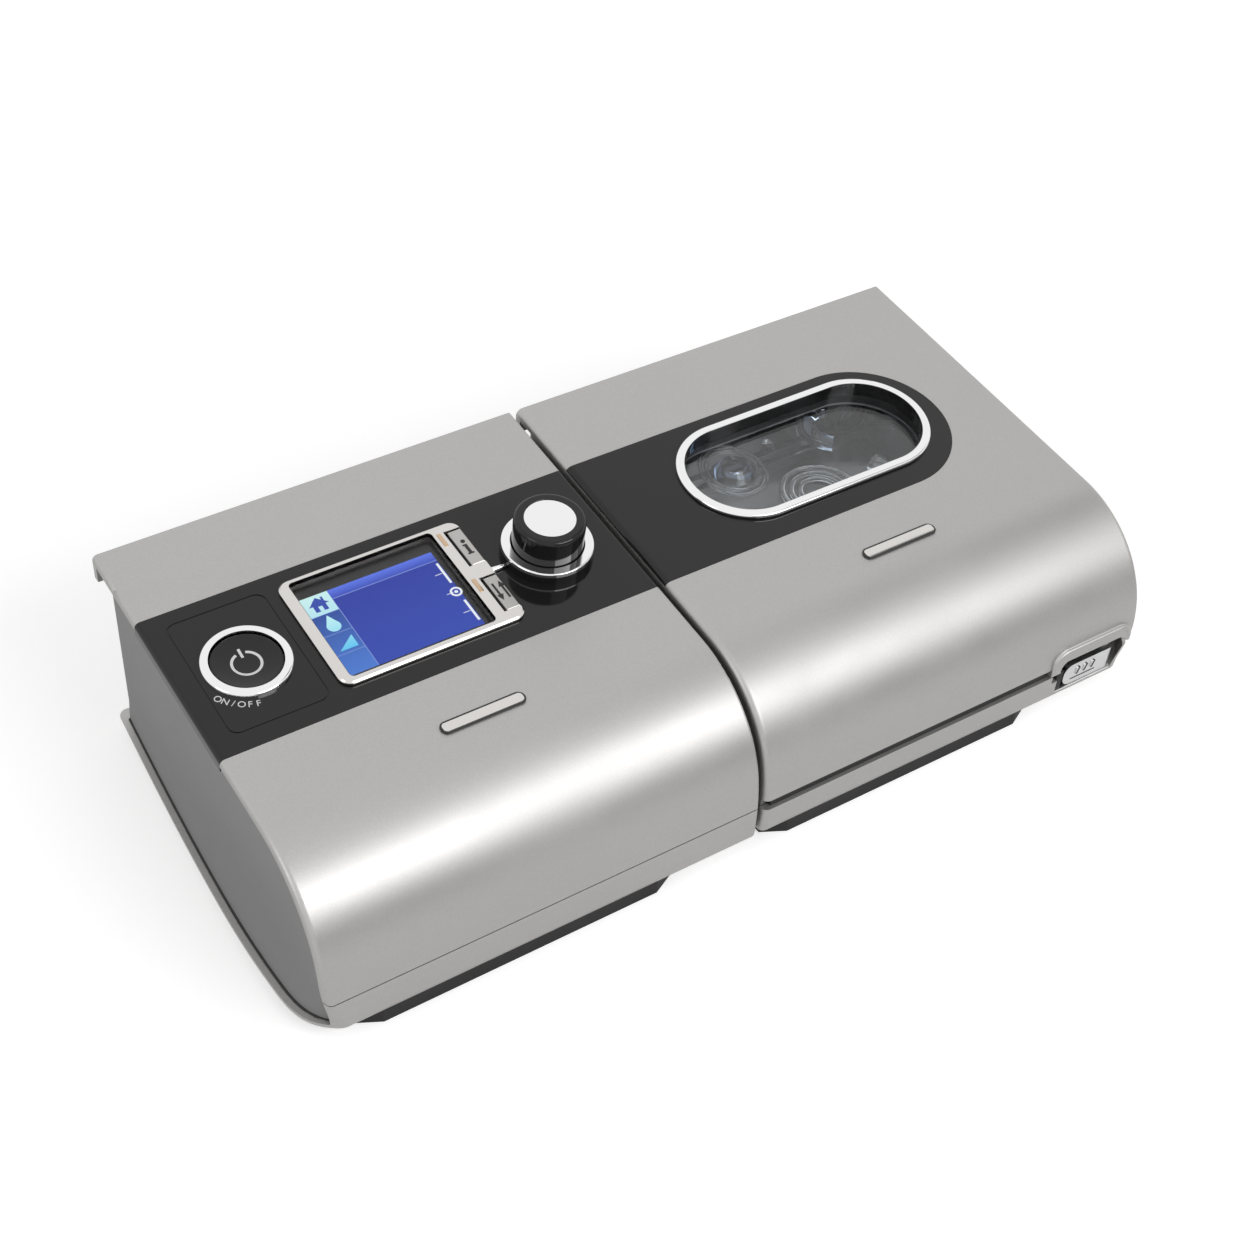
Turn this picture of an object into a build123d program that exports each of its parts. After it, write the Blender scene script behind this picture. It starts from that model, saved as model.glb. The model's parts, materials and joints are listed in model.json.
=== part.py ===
from build123d import *
import os
from math import cos, radians, sin, tan

# Bedside breathing machine: a flow generator (left) docked to a heated humidifier (right).
# Millimetres. +X to the right, the front faces -Y, +Z up, origin under the middle on the table.

os.makedirs("parts", exist_ok=True)

# ---- driving dimensions of the whole machine ----
WIDTH = 302.0
BACK_Y = 75.0
FRONT_Y = -74.0
BACK_H = 69.5
SLOPE = 5.0
BEND_Y = -38.5
BREAK = 78.5
NOSE_Z = 12.0
TRAY_Z = 4.0
LOW_R = 3.0
WALL = 2.6
EDGE_R = 1.8
SEAM_R = 2.4

LEFT_X = -WIDTH / 2
RIGHT_X = WIDTH / 2
FG_END = -4.2
HM_START = -2.0
PANEL_INSET = 2.4
PANEL_T = 2.0
REAR_OUT = 68.0
REAR_IN = 66.0
TRAY_BACK = 71.0
LIP_H = 8.5
FLOOR_Z = TRAY_Z + WALL

FG_SEAM = 18.2
LID_SEAM = 18.9
HM_TRAY_TOP = 15.2

# Bow of the two outer ends towards the table: how far out, its share along the depth and its
# share up the height. A negative share along the depth rounds the front corner.
FLARE = 6.2
FLARE_ALONG = (
    (82, -0.05), (75, 0.05), (62, 0.22), (34, 0.55), (-5, 0.9), (-28, 1.0), (-45, 0.95),
    (-56, 0.84), (-62, 0.66), (-67, 0.3), (-71, -0.3), (-74, -1.1), (-80, -2.6),
)
FLARE_UP = (
    (-2, 1.0), (3, 1.0), (8, 0.97), (12, 0.72), (16, 0.42), (20, 0.18), (24, 0.05),
    (28, 0), (36, 0), (48, 0), (60, 0), (76, 0),
)

# ---- control band across the top ----
BAND_MID_Y = 15.0
BAND_HALF = 29.0
FASCIA_T = 1.3
FIT = 0.08
BAND_END_X = 99.0

START_X, START_V = -128.5, 0.5
START_RING_R, START_BORE_R = 13.7, 11.1
START_DISH_R = 36.6
START_DISH_W = -0.65
START_FOOT = -7.0
START_TRAVEL = 1.0
SWITCH_GAP = 0.4

BEZEL = (-108.5, -46.4, -21.7, 23.4)
BEZEL_H = 1.6
SCREEN = (-105.0, -56.2, -19.6, 21.7)
LENS = (-105.9, -55.3, -20.5, 22.6)
KEY_X = (-51.3, -46.7)
INFO_V = (3.7, 19.5)
SETUP_V = (-17.3, -2.6)
KEY_GAP = 0.35
KEY_SLOT = 1.3
KEY_FOOT = -4.6
KEY_TRAVEL = 0.8

DIAL_X, DIAL_V = -26.9, 0.0
DIAL_BASE_R, KNOB_R, CAP_R = 14.7, 11.3, 8.1
DIAL_BASE_H = 2.7
RING_TOP = 3.9
KNOB_TOP = 14.0
SHAFT_R = 3.0
DIAL_TRAVEL = 0.8
PLUNGER_FOOT = -10.3

BOARD_W = -12.0
BOARD_T = 1.6

# ---- humidifier window ----
WIN_X, WIN_V = 74.2, 1.5
WIN_HALF = 24.9
WIN_R = 22.4
WIN_IN_R = 19.5

# ---- lid hinge and latch ----
HINGE_Y, HINGE_Z = 70.5, 62.5
HINGE_PIN_R = 1.5
KNUCKLE_R = 3.0
POSTS = ((3.0, 11.0), (137.6, 145.6))
EAR_T = 5.0
LATCH = (121.3, 144.2, 7.4, 16.2)
CORNER_T = 1.4
LATCH_FRAME = (113.8, 148.4, 26.0)
LATCH_OPENING = (117.8, 145.6, 20.4)
LATCH_LEG_Z = 16.4

# ---- air path ----
BLOWER_X, BLOWER_Y = -82.0, -4.0
BLOWER_R = 34.0
PORT_X, PORT_Z = 118.0, 42.0
PORT_R, PORT_BORE = 11.0, 9.0
POCKET_R = 17.5
DUCT_Y, DUCT_Z = 34.0, 30.0
CARD_X = (-50.0, -22.0)
CARD_Z = 44.0

TAN = tan(radians(SLOPE))


def top_z(y):
    """Height of the sloping top plane at depth y."""
    return BACK_H - (BACK_Y - y) * TAN


def nose_arcs():
    """Centres and radii of the two tangent arcs that carry the top plane round to the nose."""
    s, c = sin(radians(SLOPE)), cos(radians(SLOPE))
    sb, cb = sin(radians(BREAK)), cos(radians(BREAK))
    dy = BEND_Y - FRONT_Y
    dz = top_z(BEND_Y) - NOSE_Z
    det = (sb - s) * cb - (1 - sb) * (c - cb)
    r1 = (dy * cb - dz * (1 - sb)) / det
    r2 = ((sb - s) * dz - (c - cb) * dy) / det
    c1 = (BEND_Y + r1 * s, top_z(BEND_Y) - r1 * c)
    c2 = (FRONT_Y + r2, NOSE_Z)
    return c1, r1, c2, r2


C1, R1, C2, R2 = nose_arcs()


def on_arc(center, radius, lean):
    """Point (y, z) of an arc where the surface leans by lean degrees from level."""
    return center[0] - radius * sin(radians(lean)), center[1] + radius * cos(radians(lean))


def yz(point):
    return 0, point[0], point[1]


def line(a, b):
    return Edge.make_line(yz(a), yz(b))


def arc(center, radius, lean_a, lean_b):
    points = [on_arc(center, radius, lean) for lean in (lean_a, (lean_a + lean_b) / 2, lean_b)]
    return Edge.make_three_point_arc(*[yz(p) for p in points])


def outline(inset, back=BACK_Y):
    """Side outline of the housing, moved inwards by inset, as a face across X."""
    start = (back, top_z(back) - inset / cos(radians(SLOPE)))
    bend = on_arc(C1, R1 - inset, SLOPE)
    low_r = max(LOW_R - inset, 0.4)
    c_low = (FRONT_Y + inset + low_r, TRAY_Z + inset + low_r)
    low_back = (back, TRAY_Z + inset)
    edges = [
        line(start, bend),
        arc(C1, R1 - inset, SLOPE, BREAK),
        arc(C2, R2 - inset, BREAK, 90),
        line((FRONT_Y + inset, NOSE_Z), (FRONT_Y + inset, c_low[1])),
        arc(c_low, low_r, 90, 180),
        line((c_low[0], TRAY_Z + inset), low_back),
        line(low_back, start),
    ]
    return Face(Wire(edges))


def block(inset, x0, x1, back=BACK_Y):
    """The side outline extruded from x0 to x1."""
    return Pos(x0, 0, 0) * extrude(outline(inset, back), amount=x1 - x0, dir=(1, 0, 0))


def box(x0, x1, y0, y1, z0, z1):
    return Pos((x0 + x1) / 2, (y0 + y1) / 2, (z0 + z1) / 2) * Box(x1 - x0, y1 - y0, z1 - z0)


def above(z):
    return box(-200, 200, -100, 100, z, 120)


def below(z):
    return box(-200, 200, -100, 100, -20, z)


# Frame of the sloping top: x along the machine, v up the slope, w out of the surface.
TOP = Location((0, BAND_MID_Y, top_z(BAND_MID_Y)), (SLOPE, 0, 0))


def slab(x0, x1, v0, v1, w0, w1):
    return TOP * box(x0, x1, v0, v1, w0, w1)


def rounded(rect, radius, w0, w1):
    """Rounded rectangle (x0, x1, v0, v1) on the top plane, from w0 to w1."""
    x0, x1, v0, v1 = rect
    shape = Pos((x0 + x1) / 2, (v0 + v1) / 2, w0) * RectangleRounded(x1 - x0, v1 - v0, radius)
    return TOP * extrude(shape, amount=w1 - w0)


def disc(x, v, radius, w0, w1):
    return TOP * Pos(x, v, (w0 + w1) / 2) * Cylinder(radius, w1 - w0)


def stadium(radius, w0, w1):
    """Stadium concentric with the humidifier window."""
    shape = Pos(WIN_X, WIN_V, w0) * SlotCenterToCenter(2 * WIN_HALF, 2 * radius)
    return TOP * extrude(shape, amount=w1 - w0)


def grown(rect, by):
    return rect[0] - by, rect[1] + by, rect[2] - by, rect[3] + by


def rod_x(x0, x1, y, z, radius):
    return Pos((x0 + x1) / 2, y, z) * Rot(0, 90, 0) * Cylinder(radius, x1 - x0)


def rod_y(x, y0, y1, z, radius):
    return Pos(x, (y0 + y1) / 2, z) * Rot(90, 0, 0) * Cylinder(radius, y1 - y0)


def rod_z(x, y, z0, z1, radius):
    return Pos(x, y, (z0 + z1) / 2) * Cylinder(radius, z1 - z0)


def bowed_end(inset):
    """All that lies to the right of the bowed left end, moved inwards by inset."""
    rows = []
    for y, along in FLARE_ALONG:
        rows.append([Vector(LEFT_X + inset - FLARE * along * up, y, z) for z, up in FLARE_UP])
    return extrude(Face.make_surface_from_array_of_points(rows), amount=WIDTH * 1.5, dir=(1, 0, 0))


def end_edges(shape, low, high):
    """Long edges of the outer skin between two planes across X, without the one at the open back."""
    at_end = [e for e in shape.edges() if low < e.center().X < high]
    return [e for e in at_end if e.center().Y < BACK_Y - 0.1]


def end_skin(inner_x, inner_r):
    """Outer envelope of a unit whose outer end is the left one, with its edges softened."""
    skin = block(0, LEFT_X - 2 * FLARE, inner_x) & bowed_end(0)
    skin = fillet(end_edges(skin, LEFT_X - 2 * FLARE, LEFT_X + 1.5 * FLARE), EDGE_R)
    return fillet(end_edges(skin, inner_x - 0.01, inner_x + 0.01), inner_r)


def end_wall(inner_inset, back):
    """Recessed wall that follows the bowed left end, a little inside the skin."""
    wall = bowed_end(PANEL_INSET) - bowed_end(PANEL_INSET + PANEL_T)
    x0 = LEFT_X - 2 * FLARE
    low = block(inner_inset, x0, -100, REAR_IN - 0.1)
    under_lip = block(inner_inset, x0, -100, back) & above(top_z(BACK_Y) - LIP_H)
    return wall & (low + under_lip)


def fg_skin():
    return end_skin(FG_END, 1.0)


def hm_skin():
    return mirror(end_skin(-HM_START, SEAM_R), about=Plane.YZ)


FG_SKIN = fg_skin()
HM_SKIN = hm_skin()


def wrap(skin):
    """The skin made hollow and open at both ends and at the back."""
    return skin - block(WALL, -WIDTH, WIDTH, BACK_Y + 1)


# ---- flow generator: control fascia and what sits in it ----
def fascia_zone(gap):
    """Recess of the control fascia, with its lip down the left side."""
    half = BAND_HALF - gap
    face = slab(LEFT_X - 1, FG_END + 1, -half, half, -FASCIA_T, 2)
    lip = slab(LEFT_X - 1, LEFT_X + 1.5, -half, half, -4.5, 2)
    return face + lip


def key_rect(v_range):
    return KEY_X[0], KEY_X[1], v_range[0], v_range[1]


def key_opening(v_range):
    """Opening round a key, wider on its left where the finger slot is."""
    x0, x1, v0, v1 = grown(key_rect(v_range), KEY_GAP)
    return x0 - KEY_SLOT + KEY_GAP, x1, v0, v1


def control_fascia():
    plate = FG_SKIN & fascia_zone(FIT)
    plate -= disc(START_X, START_V, START_RING_R - 0.7, -3, 3)
    plate -= disc(DIAL_X, DIAL_V, 8.0, -3, 3)
    plate -= rounded(grown(LENS, 0.1), 2.0, -3, 3)
    for v_range in (INFO_V, SETUP_V):
        plate -= slab(*key_opening(v_range), -3, 3)
    groove_outer = rounded((-144.2, -112.4, -22.6, 24.0), 3.5, -0.25, 1)
    groove_inner = rounded((-143.7, -112.9, -22.1, 23.5), 3.0, -1, 2)
    return plate - (groove_outer - groove_inner)


def fg_top_shell():
    lip = FG_SKIN & box(LEFT_X, FG_END, BACK_Y - WALL, BACK_Y, BACK_H - LIP_H, 80)
    shell = (wrap(FG_SKIN) & above(FG_SEAM)) + lip
    for x, y in ((-138, -44), (-16, -44), (-138, 52), (-16, 52)):
        shell += rod_z(x, y, 40, 70, 4.0) & block(WALL / 2, LEFT_X, FG_END)
        shell -= rod_z(x, y, 38, 50, 1.3)
    shell -= fascia_zone(0)
    shell -= disc(START_X, START_V, START_BORE_R + 0.3, -6, 3)
    shell -= disc(DIAL_X, DIAL_V, 5.0, -6, 3)
    shell -= rounded(grown(SCREEN, -0.3), 1.5, -6, 3)
    for v_range in (INFO_V, SETUP_V):
        shell -= slab(*key_opening(v_range), -6, 3)
    return shell


def start_ring():
    flange = disc(START_X, START_V, START_RING_R, 0, 1.6)
    flange = fillet(flange.edges().filter_by(GeomType.CIRCLE).sort_by(Axis.Z)[-1], 1.0)
    skirt = disc(START_X, START_V, START_RING_R - 0.8, -FASCIA_T, 0)
    return flange + skirt - disc(START_X, START_V, START_BORE_R, -3, 3)


def start_button():
    """Dished push button, with a retaining flange under the shell and a stem to its switch."""
    cap = disc(START_X, START_V, START_BORE_R - 0.4, -3.8, 0.75)
    cap = fillet(cap.edges().filter_by(GeomType.CIRCLE).sort_by(Axis.Z)[-1], 0.3)
    cap -= TOP * Pos(START_X, START_V, START_DISH_W + START_DISH_R) * Sphere(START_DISH_R)
    flange = disc(START_X, START_V, START_BORE_R + 1.3, -4.2, -3.2)
    return cap + flange + disc(START_X, START_V, 2.5, START_FOOT, -4.0)


def screen_bezel():
    frame = rounded(BEZEL, 4.0, 0, BEZEL_H)
    top_face = frame.faces().sort_by(Axis.Z)[-1]
    frame = chamfer(top_face.edges(), 0.5)
    frame -= rounded(SCREEN, 1.5, -1, 3)
    for v_range in (INFO_V, SETUP_V):
        x0, x1, v0, v1 = key_opening(v_range)
        frame -= slab(x0, x1 + 5, v0, v1, -1, 3)
    return frame


def screen_window():
    return rounded(LENS, 1.9, -FASCIA_T, -0.1)


def lcd_module():
    body = slab(-108, -54.6, -20, 23, -6, -2.8)
    return body + rounded(grown(SCREEN, -0.8), 1.2, -2.8, -1.5)


def soft_key(v_range):
    """Flat key with a retaining flange under the shell."""
    cap = slab(*key_rect(v_range), -4.2, 1.3)
    cap = chamfer(cap.faces().sort_by(Axis.Z)[-1].edges(), 0.3)
    x0, x1, v0, v1 = key_rect(v_range)
    return cap + slab(x0 - KEY_SLOT - 0.8, x1 + 0.8, v0 + 0.4, v1 - 0.4, KEY_FOOT, KEY_FOOT + 1)


def dial_base():
    collar = disc(DIAL_X, DIAL_V, DIAL_BASE_R, 0, DIAL_BASE_H)
    spigot = disc(DIAL_X, DIAL_V, 7.9, -FASCIA_T, 0)
    pocket = disc(DIAL_X, DIAL_V, KNOB_R + 0.4, 0.9, 6)
    return collar + spigot - pocket - disc(DIAL_X, DIAL_V, SHAFT_R + 0.4, -3, 3)


def dial_ring():
    ring = disc(DIAL_X, DIAL_V, DIAL_BASE_R - 0.2, DIAL_BASE_H, RING_TOP)
    ring = fillet(ring.edges().filter_by(GeomType.CIRCLE).sort_by(Axis.Z)[-1], 0.5)
    return ring - disc(DIAL_X, DIAL_V, KNOB_R + 0.4, 1, 7)


def dial_knob():
    knob = disc(DIAL_X, DIAL_V, KNOB_R, 2.0, KNOB_TOP)
    knob = fillet(knob.edges().filter_by(GeomType.CIRCLE).sort_by(Axis.Z)[-1], 1.4)
    knob -= disc(DIAL_X, DIAL_V, CAP_R, KNOB_TOP - 1.2, KNOB_TOP + 1)
    return knob - disc(DIAL_X, DIAL_V, SHAFT_R, 1, 10)


def dial_cap():
    return disc(DIAL_X, DIAL_V, CAP_R - 0.05, KNOB_TOP - 1.2, KNOB_TOP - 0.2)


def dial_shaft():
    return disc(DIAL_X, DIAL_V, SHAFT_R - 0.02, -8.7, 9.9)


def encoder_body():
    case = TOP * Pos(DIAL_X, DIAL_V, (BOARD_W - 6.5) / 2) * Box(14, 14, -6.5 - BOARD_W)
    bush = disc(DIAL_X, DIAL_V, 4.4, -6.5, -3.2)
    cavity = disc(DIAL_X, DIAL_V, 5.2, PLUNGER_FOOT - DIAL_TRAVEL - 0.5, -7.4)
    return case + bush - cavity - disc(DIAL_X, DIAL_V, SHAFT_R + 0.05, -8, -2)


def encoder_plunger():
    return disc(DIAL_X, DIAL_V, 4.7, PLUNGER_FOOT, -9.0)


def tact_switches():
    """One small switch under the start button and one under each key."""
    places = [(START_X, START_V, START_FOOT - START_TRAVEL - SWITCH_GAP)]
    for v_range in (INFO_V, SETUP_V):
        places.append(((KEY_X[0] + KEY_X[1]) / 2, sum(v_range) / 2, KEY_FOOT - KEY_TRAVEL - SWITCH_GAP))
    group = []
    for x, v, top in places:
        case = slab(x - 3, x + 3, v - 3, v + 3, BOARD_W, top - 0.8)
        group.append(case + disc(x, v, 1.7, top - 1, top))
    return Compound(children=group)


def control_board():
    board = slab(-146, -10, -26, 26, BOARD_W - BOARD_T, BOARD_W)
    for x in (-120, -95, -70, -50):
        board += slab(x - 4, x + 4, -10, -2, BOARD_W - BOARD_T - 1.2, BOARD_W - BOARD_T)
    return board


def badge(x0, x1):
    """Blank oval badge on the front of the top."""
    return rounded((x0, x1, -50.2, -45.6), 2.2, 0, 0.5)


# ---- flow generator: case panels and tray ----
def tray_plan():
    """Plan of both trays: they stop short of the top's overhang, with rounded rear corners."""
    corners = Pos(0, -20) * RectangleRounded(WIDTH + 2, 2 * TRAY_BACK + 40, 3)
    return extrude(corners, amount=40) + box(-WIDTH, WIDTH, -200, TRAY_BACK - 3, 0, 40)


def fg_base_tray():
    tray = wrap(FG_SKIN) & below(FG_SEAM - 0.4) & tray_plan()
    for x, y in ((-138, -44), (-16, -44), (-138, 52), (-16, 52)):
        tray += rod_z(x, y, FLOOR_Z - 1, 39.6, 4.0)
        tray -= rod_z(x, y, TRAY_Z - 1, TRAY_Z + 3, 3.0)
        tray -= rod_z(x, y, TRAY_Z - 1, 45, 1.6)
    return tray


def fg_left_panel():
    return end_wall(WALL + 0.15, BACK_Y - WALL - 0.15)


def fg_inner_panel():
    """Wall towards the humidifier, with the docking air port and connector openings."""
    panel = block(WALL + 0.15, FG_END - 2.6, FG_END - 0.6, REAR_IN - 0.1)
    panel -= rod_x(FG_END - 5, FG_END + 2, DUCT_Y, DUCT_Z, 10.2)
    return panel - box(FG_END - 5, FG_END + 2, -24.2, -3.8, 13.8, 24.2)


def fg_rear_panel():
    """Rear wall with the filter window, the power socket and the card slot."""
    x0 = LEFT_X + PANEL_INSET + 0.1
    panel = block(WALL + 0.15, x0, FG_END - 0.4, REAR_OUT) & box(-200, 0, REAR_IN, 80, 0, 80)
    panel -= box(x0 - 1, x0 + PANEL_T + 0.1, 60, 80, top_z(BACK_Y) - LIP_H - 0.2, 80)
    panel -= box(-141, -109, 60, 70, 14, 46)
    panel -= box(-42.2, -19.8, 60, 70, 13.8, 28.2)
    panel -= box(CARD_X[0] - 0.2, CARD_X[1] + 0.2, 60, 70, CARD_Z - 2.2, CARD_Z + 2.2)
    for row in range(5):
        panel -= box(-98, -58, 60, 70, 16 + 5 * row, 18 + 5 * row)
    return panel


def air_filter():
    pad = box(-140.6, -109.4, 60.5, 67.4, 14.4, 45.6)
    for step in range(7):
        z = 18 + 4 * step
        pad -= box(-139, -111, 66.2, 70, z, z + 1.8)
    return pad


def filter_cover():
    """Louvred cover that pulls off backwards to change the filter."""
    plate = box(-143, -107, REAR_OUT + 0.3, 71.0, 12, 48)
    plate = fillet(plate.edges().filter_by(Axis.Y), 3.0)
    for row in range(5):
        z = 17.5 + 6 * row
        plate -= box(-138, -112, 60, 75, z, z + 2.6)
    return plate


def power_socket():
    shell = box(-42, -20, 54, REAR_OUT + 0.3, 14, 28) - box(-39, -23, 56, 80, 16.4, 25.6)
    for x in (-35.5, -31, -26.5):
        shell += rod_y(x, 55.5, 61, 21, 0.8)
    return shell


def card_socket():
    x0, x1 = CARD_X
    body = box(x0, x1, 40, REAR_OUT, CARD_Z - 2, CARD_Z + 2)
    return body - box(x0 + 1.7, x1 - 1.7, 43, 80, CARD_Z - 1.4, CARD_Z + 1.4)


def memory_card():
    card = box(CARD_X[0] + 2, CARD_X[1] - 2, 43.5, 69.6, CARD_Z - 1.05, CARD_Z + 1.05)
    return chamfer(card.edges().filter_by(Axis.Z), 1.5)


def main_board():
    """Power and motor drive board with its larger components."""
    board = box(-38, -14, -36, 9, 12, 13.6)
    board += box(-37, -26, -34, -16, 13.6, 28)
    board += rod_z(-19.5, -29, 13.6, 30, 4.5)
    board += rod_z(-19.5, -17, 13.6, 26, 4.5)
    for y in (-8, -2, 4):
        board += box(-34, -20, y, y + 3, 13.6, 17)
    for x, y in ((-36, 7), (-16, 7), (-36, -35), (-16, -35)):
        board += rod_z(x, y, FLOOR_Z, 12.2, 1.5)
    return board


def dock_connector():
    """Plug that carries heater power and data across the gap to the humidifier."""
    body = box(FG_END - 8, HM_START + 0.6, -24, -4, 14, 24)
    return body - box(FG_END - 9, FG_END - 5, -22, -6, 16, 22)


# ---- flow generator: blower ----
def blower_volute_lower():
    cup = rod_z(BLOWER_X, BLOWER_Y, 11, 24, BLOWER_R) - rod_z(BLOWER_X, BLOWER_Y, 13, 30, BLOWER_R - 2)
    nozzle = box(BLOWER_X, -40, BLOWER_Y + 16, BLOWER_Y + 33, 11, 24)
    nozzle -= box(BLOWER_X - 1, -39, BLOWER_Y + 18, BLOWER_Y + 31, 13, 25)
    nozzle -= rod_z(BLOWER_X, BLOWER_Y, 5, 30, BLOWER_R - 1)
    cup -= box(BLOWER_X + 2, -39, BLOWER_Y + 18, BLOWER_Y + 31, 13, 25)
    return cup + nozzle


def blower_volute_upper():
    """Upper half of the volute, with the air inlet in its middle."""
    cup = rod_z(BLOWER_X, BLOWER_Y, 24, 38, BLOWER_R) - rod_z(BLOWER_X, BLOWER_Y, 20, 36, BLOWER_R - 2)
    nozzle = box(BLOWER_X, -40, BLOWER_Y + 16, BLOWER_Y + 33, 24, 38)
    nozzle -= box(BLOWER_X - 1, -39, BLOWER_Y + 18, BLOWER_Y + 31, 23, 36)
    nozzle -= rod_z(BLOWER_X, BLOWER_Y, 20, 40, BLOWER_R - 1)
    cup -= box(BLOWER_X + 2, -39, BLOWER_Y + 18, BLOWER_Y + 31, 23, 36)
    return cup + nozzle - rod_z(BLOWER_X, BLOWER_Y, 30, 45, 13)


def blower_motor():
    body = rod_z(BLOWER_X, BLOWER_Y, 13, 20, 14)
    return body - rod_z(BLOWER_X, BLOWER_Y, 14.5, 25, 2.55)


def motor_shaft():
    return rod_z(BLOWER_X, BLOWER_Y, 14.9, 33, 2.5)


def impeller():
    """Backplate, hub and backward-leaning blades."""
    wheel = rod_z(BLOWER_X, BLOWER_Y, 21, 22.6, 27)
    wheel += rod_z(BLOWER_X, BLOWER_Y, 21, 32, 6.5)
    blades = 11
    for turn in range(blades):
        blade = Pos(16.5, 0, 26.3) * Rot(0, 0, 38) * Box(17, 1.4, 9)
        wheel += Pos(BLOWER_X, BLOWER_Y, 0) * Rot(0, 0, turn * 360 / blades) * blade
    return wheel - rod_z(BLOWER_X, BLOWER_Y, 15, 35, 2.52)


def blower_mounts():
    """Soft rubber feet that keep the blower's hum off the tray."""
    group = []
    for turn in (90, 210, 330):
        x = BLOWER_X + 27 * cos(radians(turn))
        y = BLOWER_Y + 27 * sin(radians(turn))
        group.append(rod_z(x, y, FLOOR_Z, 11, 4))
    return Compound(children=group)


def inlet_foam():
    """Foam block that quiets the air on its way from the filter to the blower."""
    foam = box(-145, -119, -4, 46, 8, 44)
    foam -= box(-138, -126, 4, 50, 14, 38)
    return foam - box(-130, -118, 4, 18, 14, 38)


def outlet_duct():
    """Rubber duct from the blower nozzle to the docking port."""
    body = box(-39.6, -12, BLOWER_Y + 16, 46, 13, 40) - box(-41, -14, BLOWER_Y + 18.5, 43.5, 15.5, 37.5)
    port = rod_x(-14, HM_START + 5, DUCT_Y, DUCT_Z, 9.0)
    return body + port - rod_x(-16, HM_START + 6, DUCT_Y, DUCT_Z, 7.4)


# ---- humidifier: lid ----
def band_zone(gap, w0, w1):
    """Recess of the lid fascia: a band that ends in a half round."""
    half = BAND_HALF - gap
    body = slab(HM_START - 1, BAND_END_X, -half, half, w0, w1)
    return body + disc(BAND_END_X, 0, half, w0, w1)


def arch(x0, x1, z1, radius, z0):
    """Upright arch in the front, from z0 up to z1, with rounded upper corners."""
    height = z1 - z0 + 2 * radius
    shape = Plane.XZ * Pos((x0 + x1) / 2, z1 - height / 2) * RectangleRounded(x1 - x0, height, radius)
    return Pos(0, -50, 0) * extrude(shape, amount=40) & above(z0)


def lid_shell():
    """Silver lid: top plane, front curve and the frame round the latch."""
    shell = wrap(HM_SKIN) & above(LID_SEAM)
    lip = HM_SKIN & box(HM_START, RIGHT_X, BACK_Y - WALL, BACK_Y, HINGE_Z - 0.5, 80)
    shell += lip
    leg = wrap(HM_SKIN) & box(LATCH_FRAME[0], LATCH_OPENING[0], -80, -60, LATCH_LEG_Z, 25)
    opening = arch(*LATCH_OPENING, 3.0, 5)
    ring = arch(*LATCH_FRAME, 6.0, LATCH_LEG_Z) - opening
    raised = (block(-1.0, 100, RIGHT_X) - block(1.0, 99, RIGHT_X + 1)) & ring
    raised -= box(LATCH_OPENING[1] - 0.5, 160, -90, -60, 0, LID_SEAM)
    raised = fillet([e for e in raised.edges() if e.center().Y < raised.bounding_box().min.Y + 0.35], 0.7)
    shell = (shell - opening) + leg + raised
    for x0, x1 in POSTS:
        shell -= box(x0 - 0.6, x1 + 0.6, BACK_Y - WALL - 0.1, BACK_Y + 1, 50, top_z(BACK_Y) - WALL)
        ear_x = x1 + 0.5 if x0 < WIN_X else x0 - 0.5 - EAR_T
        ear = box(ear_x, ear_x + EAR_T, HINGE_Y - KNUCKLE_R, HINGE_Y + KNUCKLE_R, HINGE_Z, 68)
        ear = (ear & block(0.5, 0, RIGHT_X)) + rod_x(ear_x, ear_x + EAR_T, HINGE_Y, HINGE_Z, KNUCKLE_R)
        shell += ear - rod_x(ear_x - 1, ear_x + EAR_T + 1, HINGE_Y, HINGE_Z, HINGE_PIN_R + 0.05)
    shell += box(117.4, 122.4, -73, -66, 20.4, 23) & block(1.0, 100, RIGHT_X)
    shell -= band_zone(0, -FASCIA_T, 3)
    return shell - stadium(WIN_R - 1.3, -6, 3)


def lid_fascia():
    plate = HM_SKIN & band_zone(FIT, -FASCIA_T, 1)
    return plate - stadium(WIN_R - 1.3, -6, 3)


def window_ring():
    flange = stadium(WIN_R, 0, 1.8)
    flange = fillet(flange.faces().sort_by(Axis.Z)[-1].edges(), 0.8)
    skirt = stadium(WIN_R - 1.4, -3.4, 0)
    return flange + skirt - stadium(WIN_IN_R, -6, 3)


def window_lens():
    return stadium(WIN_R - 1.4, -5.2, -3.5)


def lid_liner():
    """Inner frame screwed under the lid, with the collar that carries the seal."""
    plate = slab(6, 142, -46, 44, -4.8, -2.9) + stadium(WIN_R + 2.6, -9, -4)
    return plate - stadium(WIN_R - 1.2, -12, 3)


def lid_seal():
    return stadium(WIN_R + 1.8, -10.4, -9) - stadium(WIN_R - 0.6, -12, 3)


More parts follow.
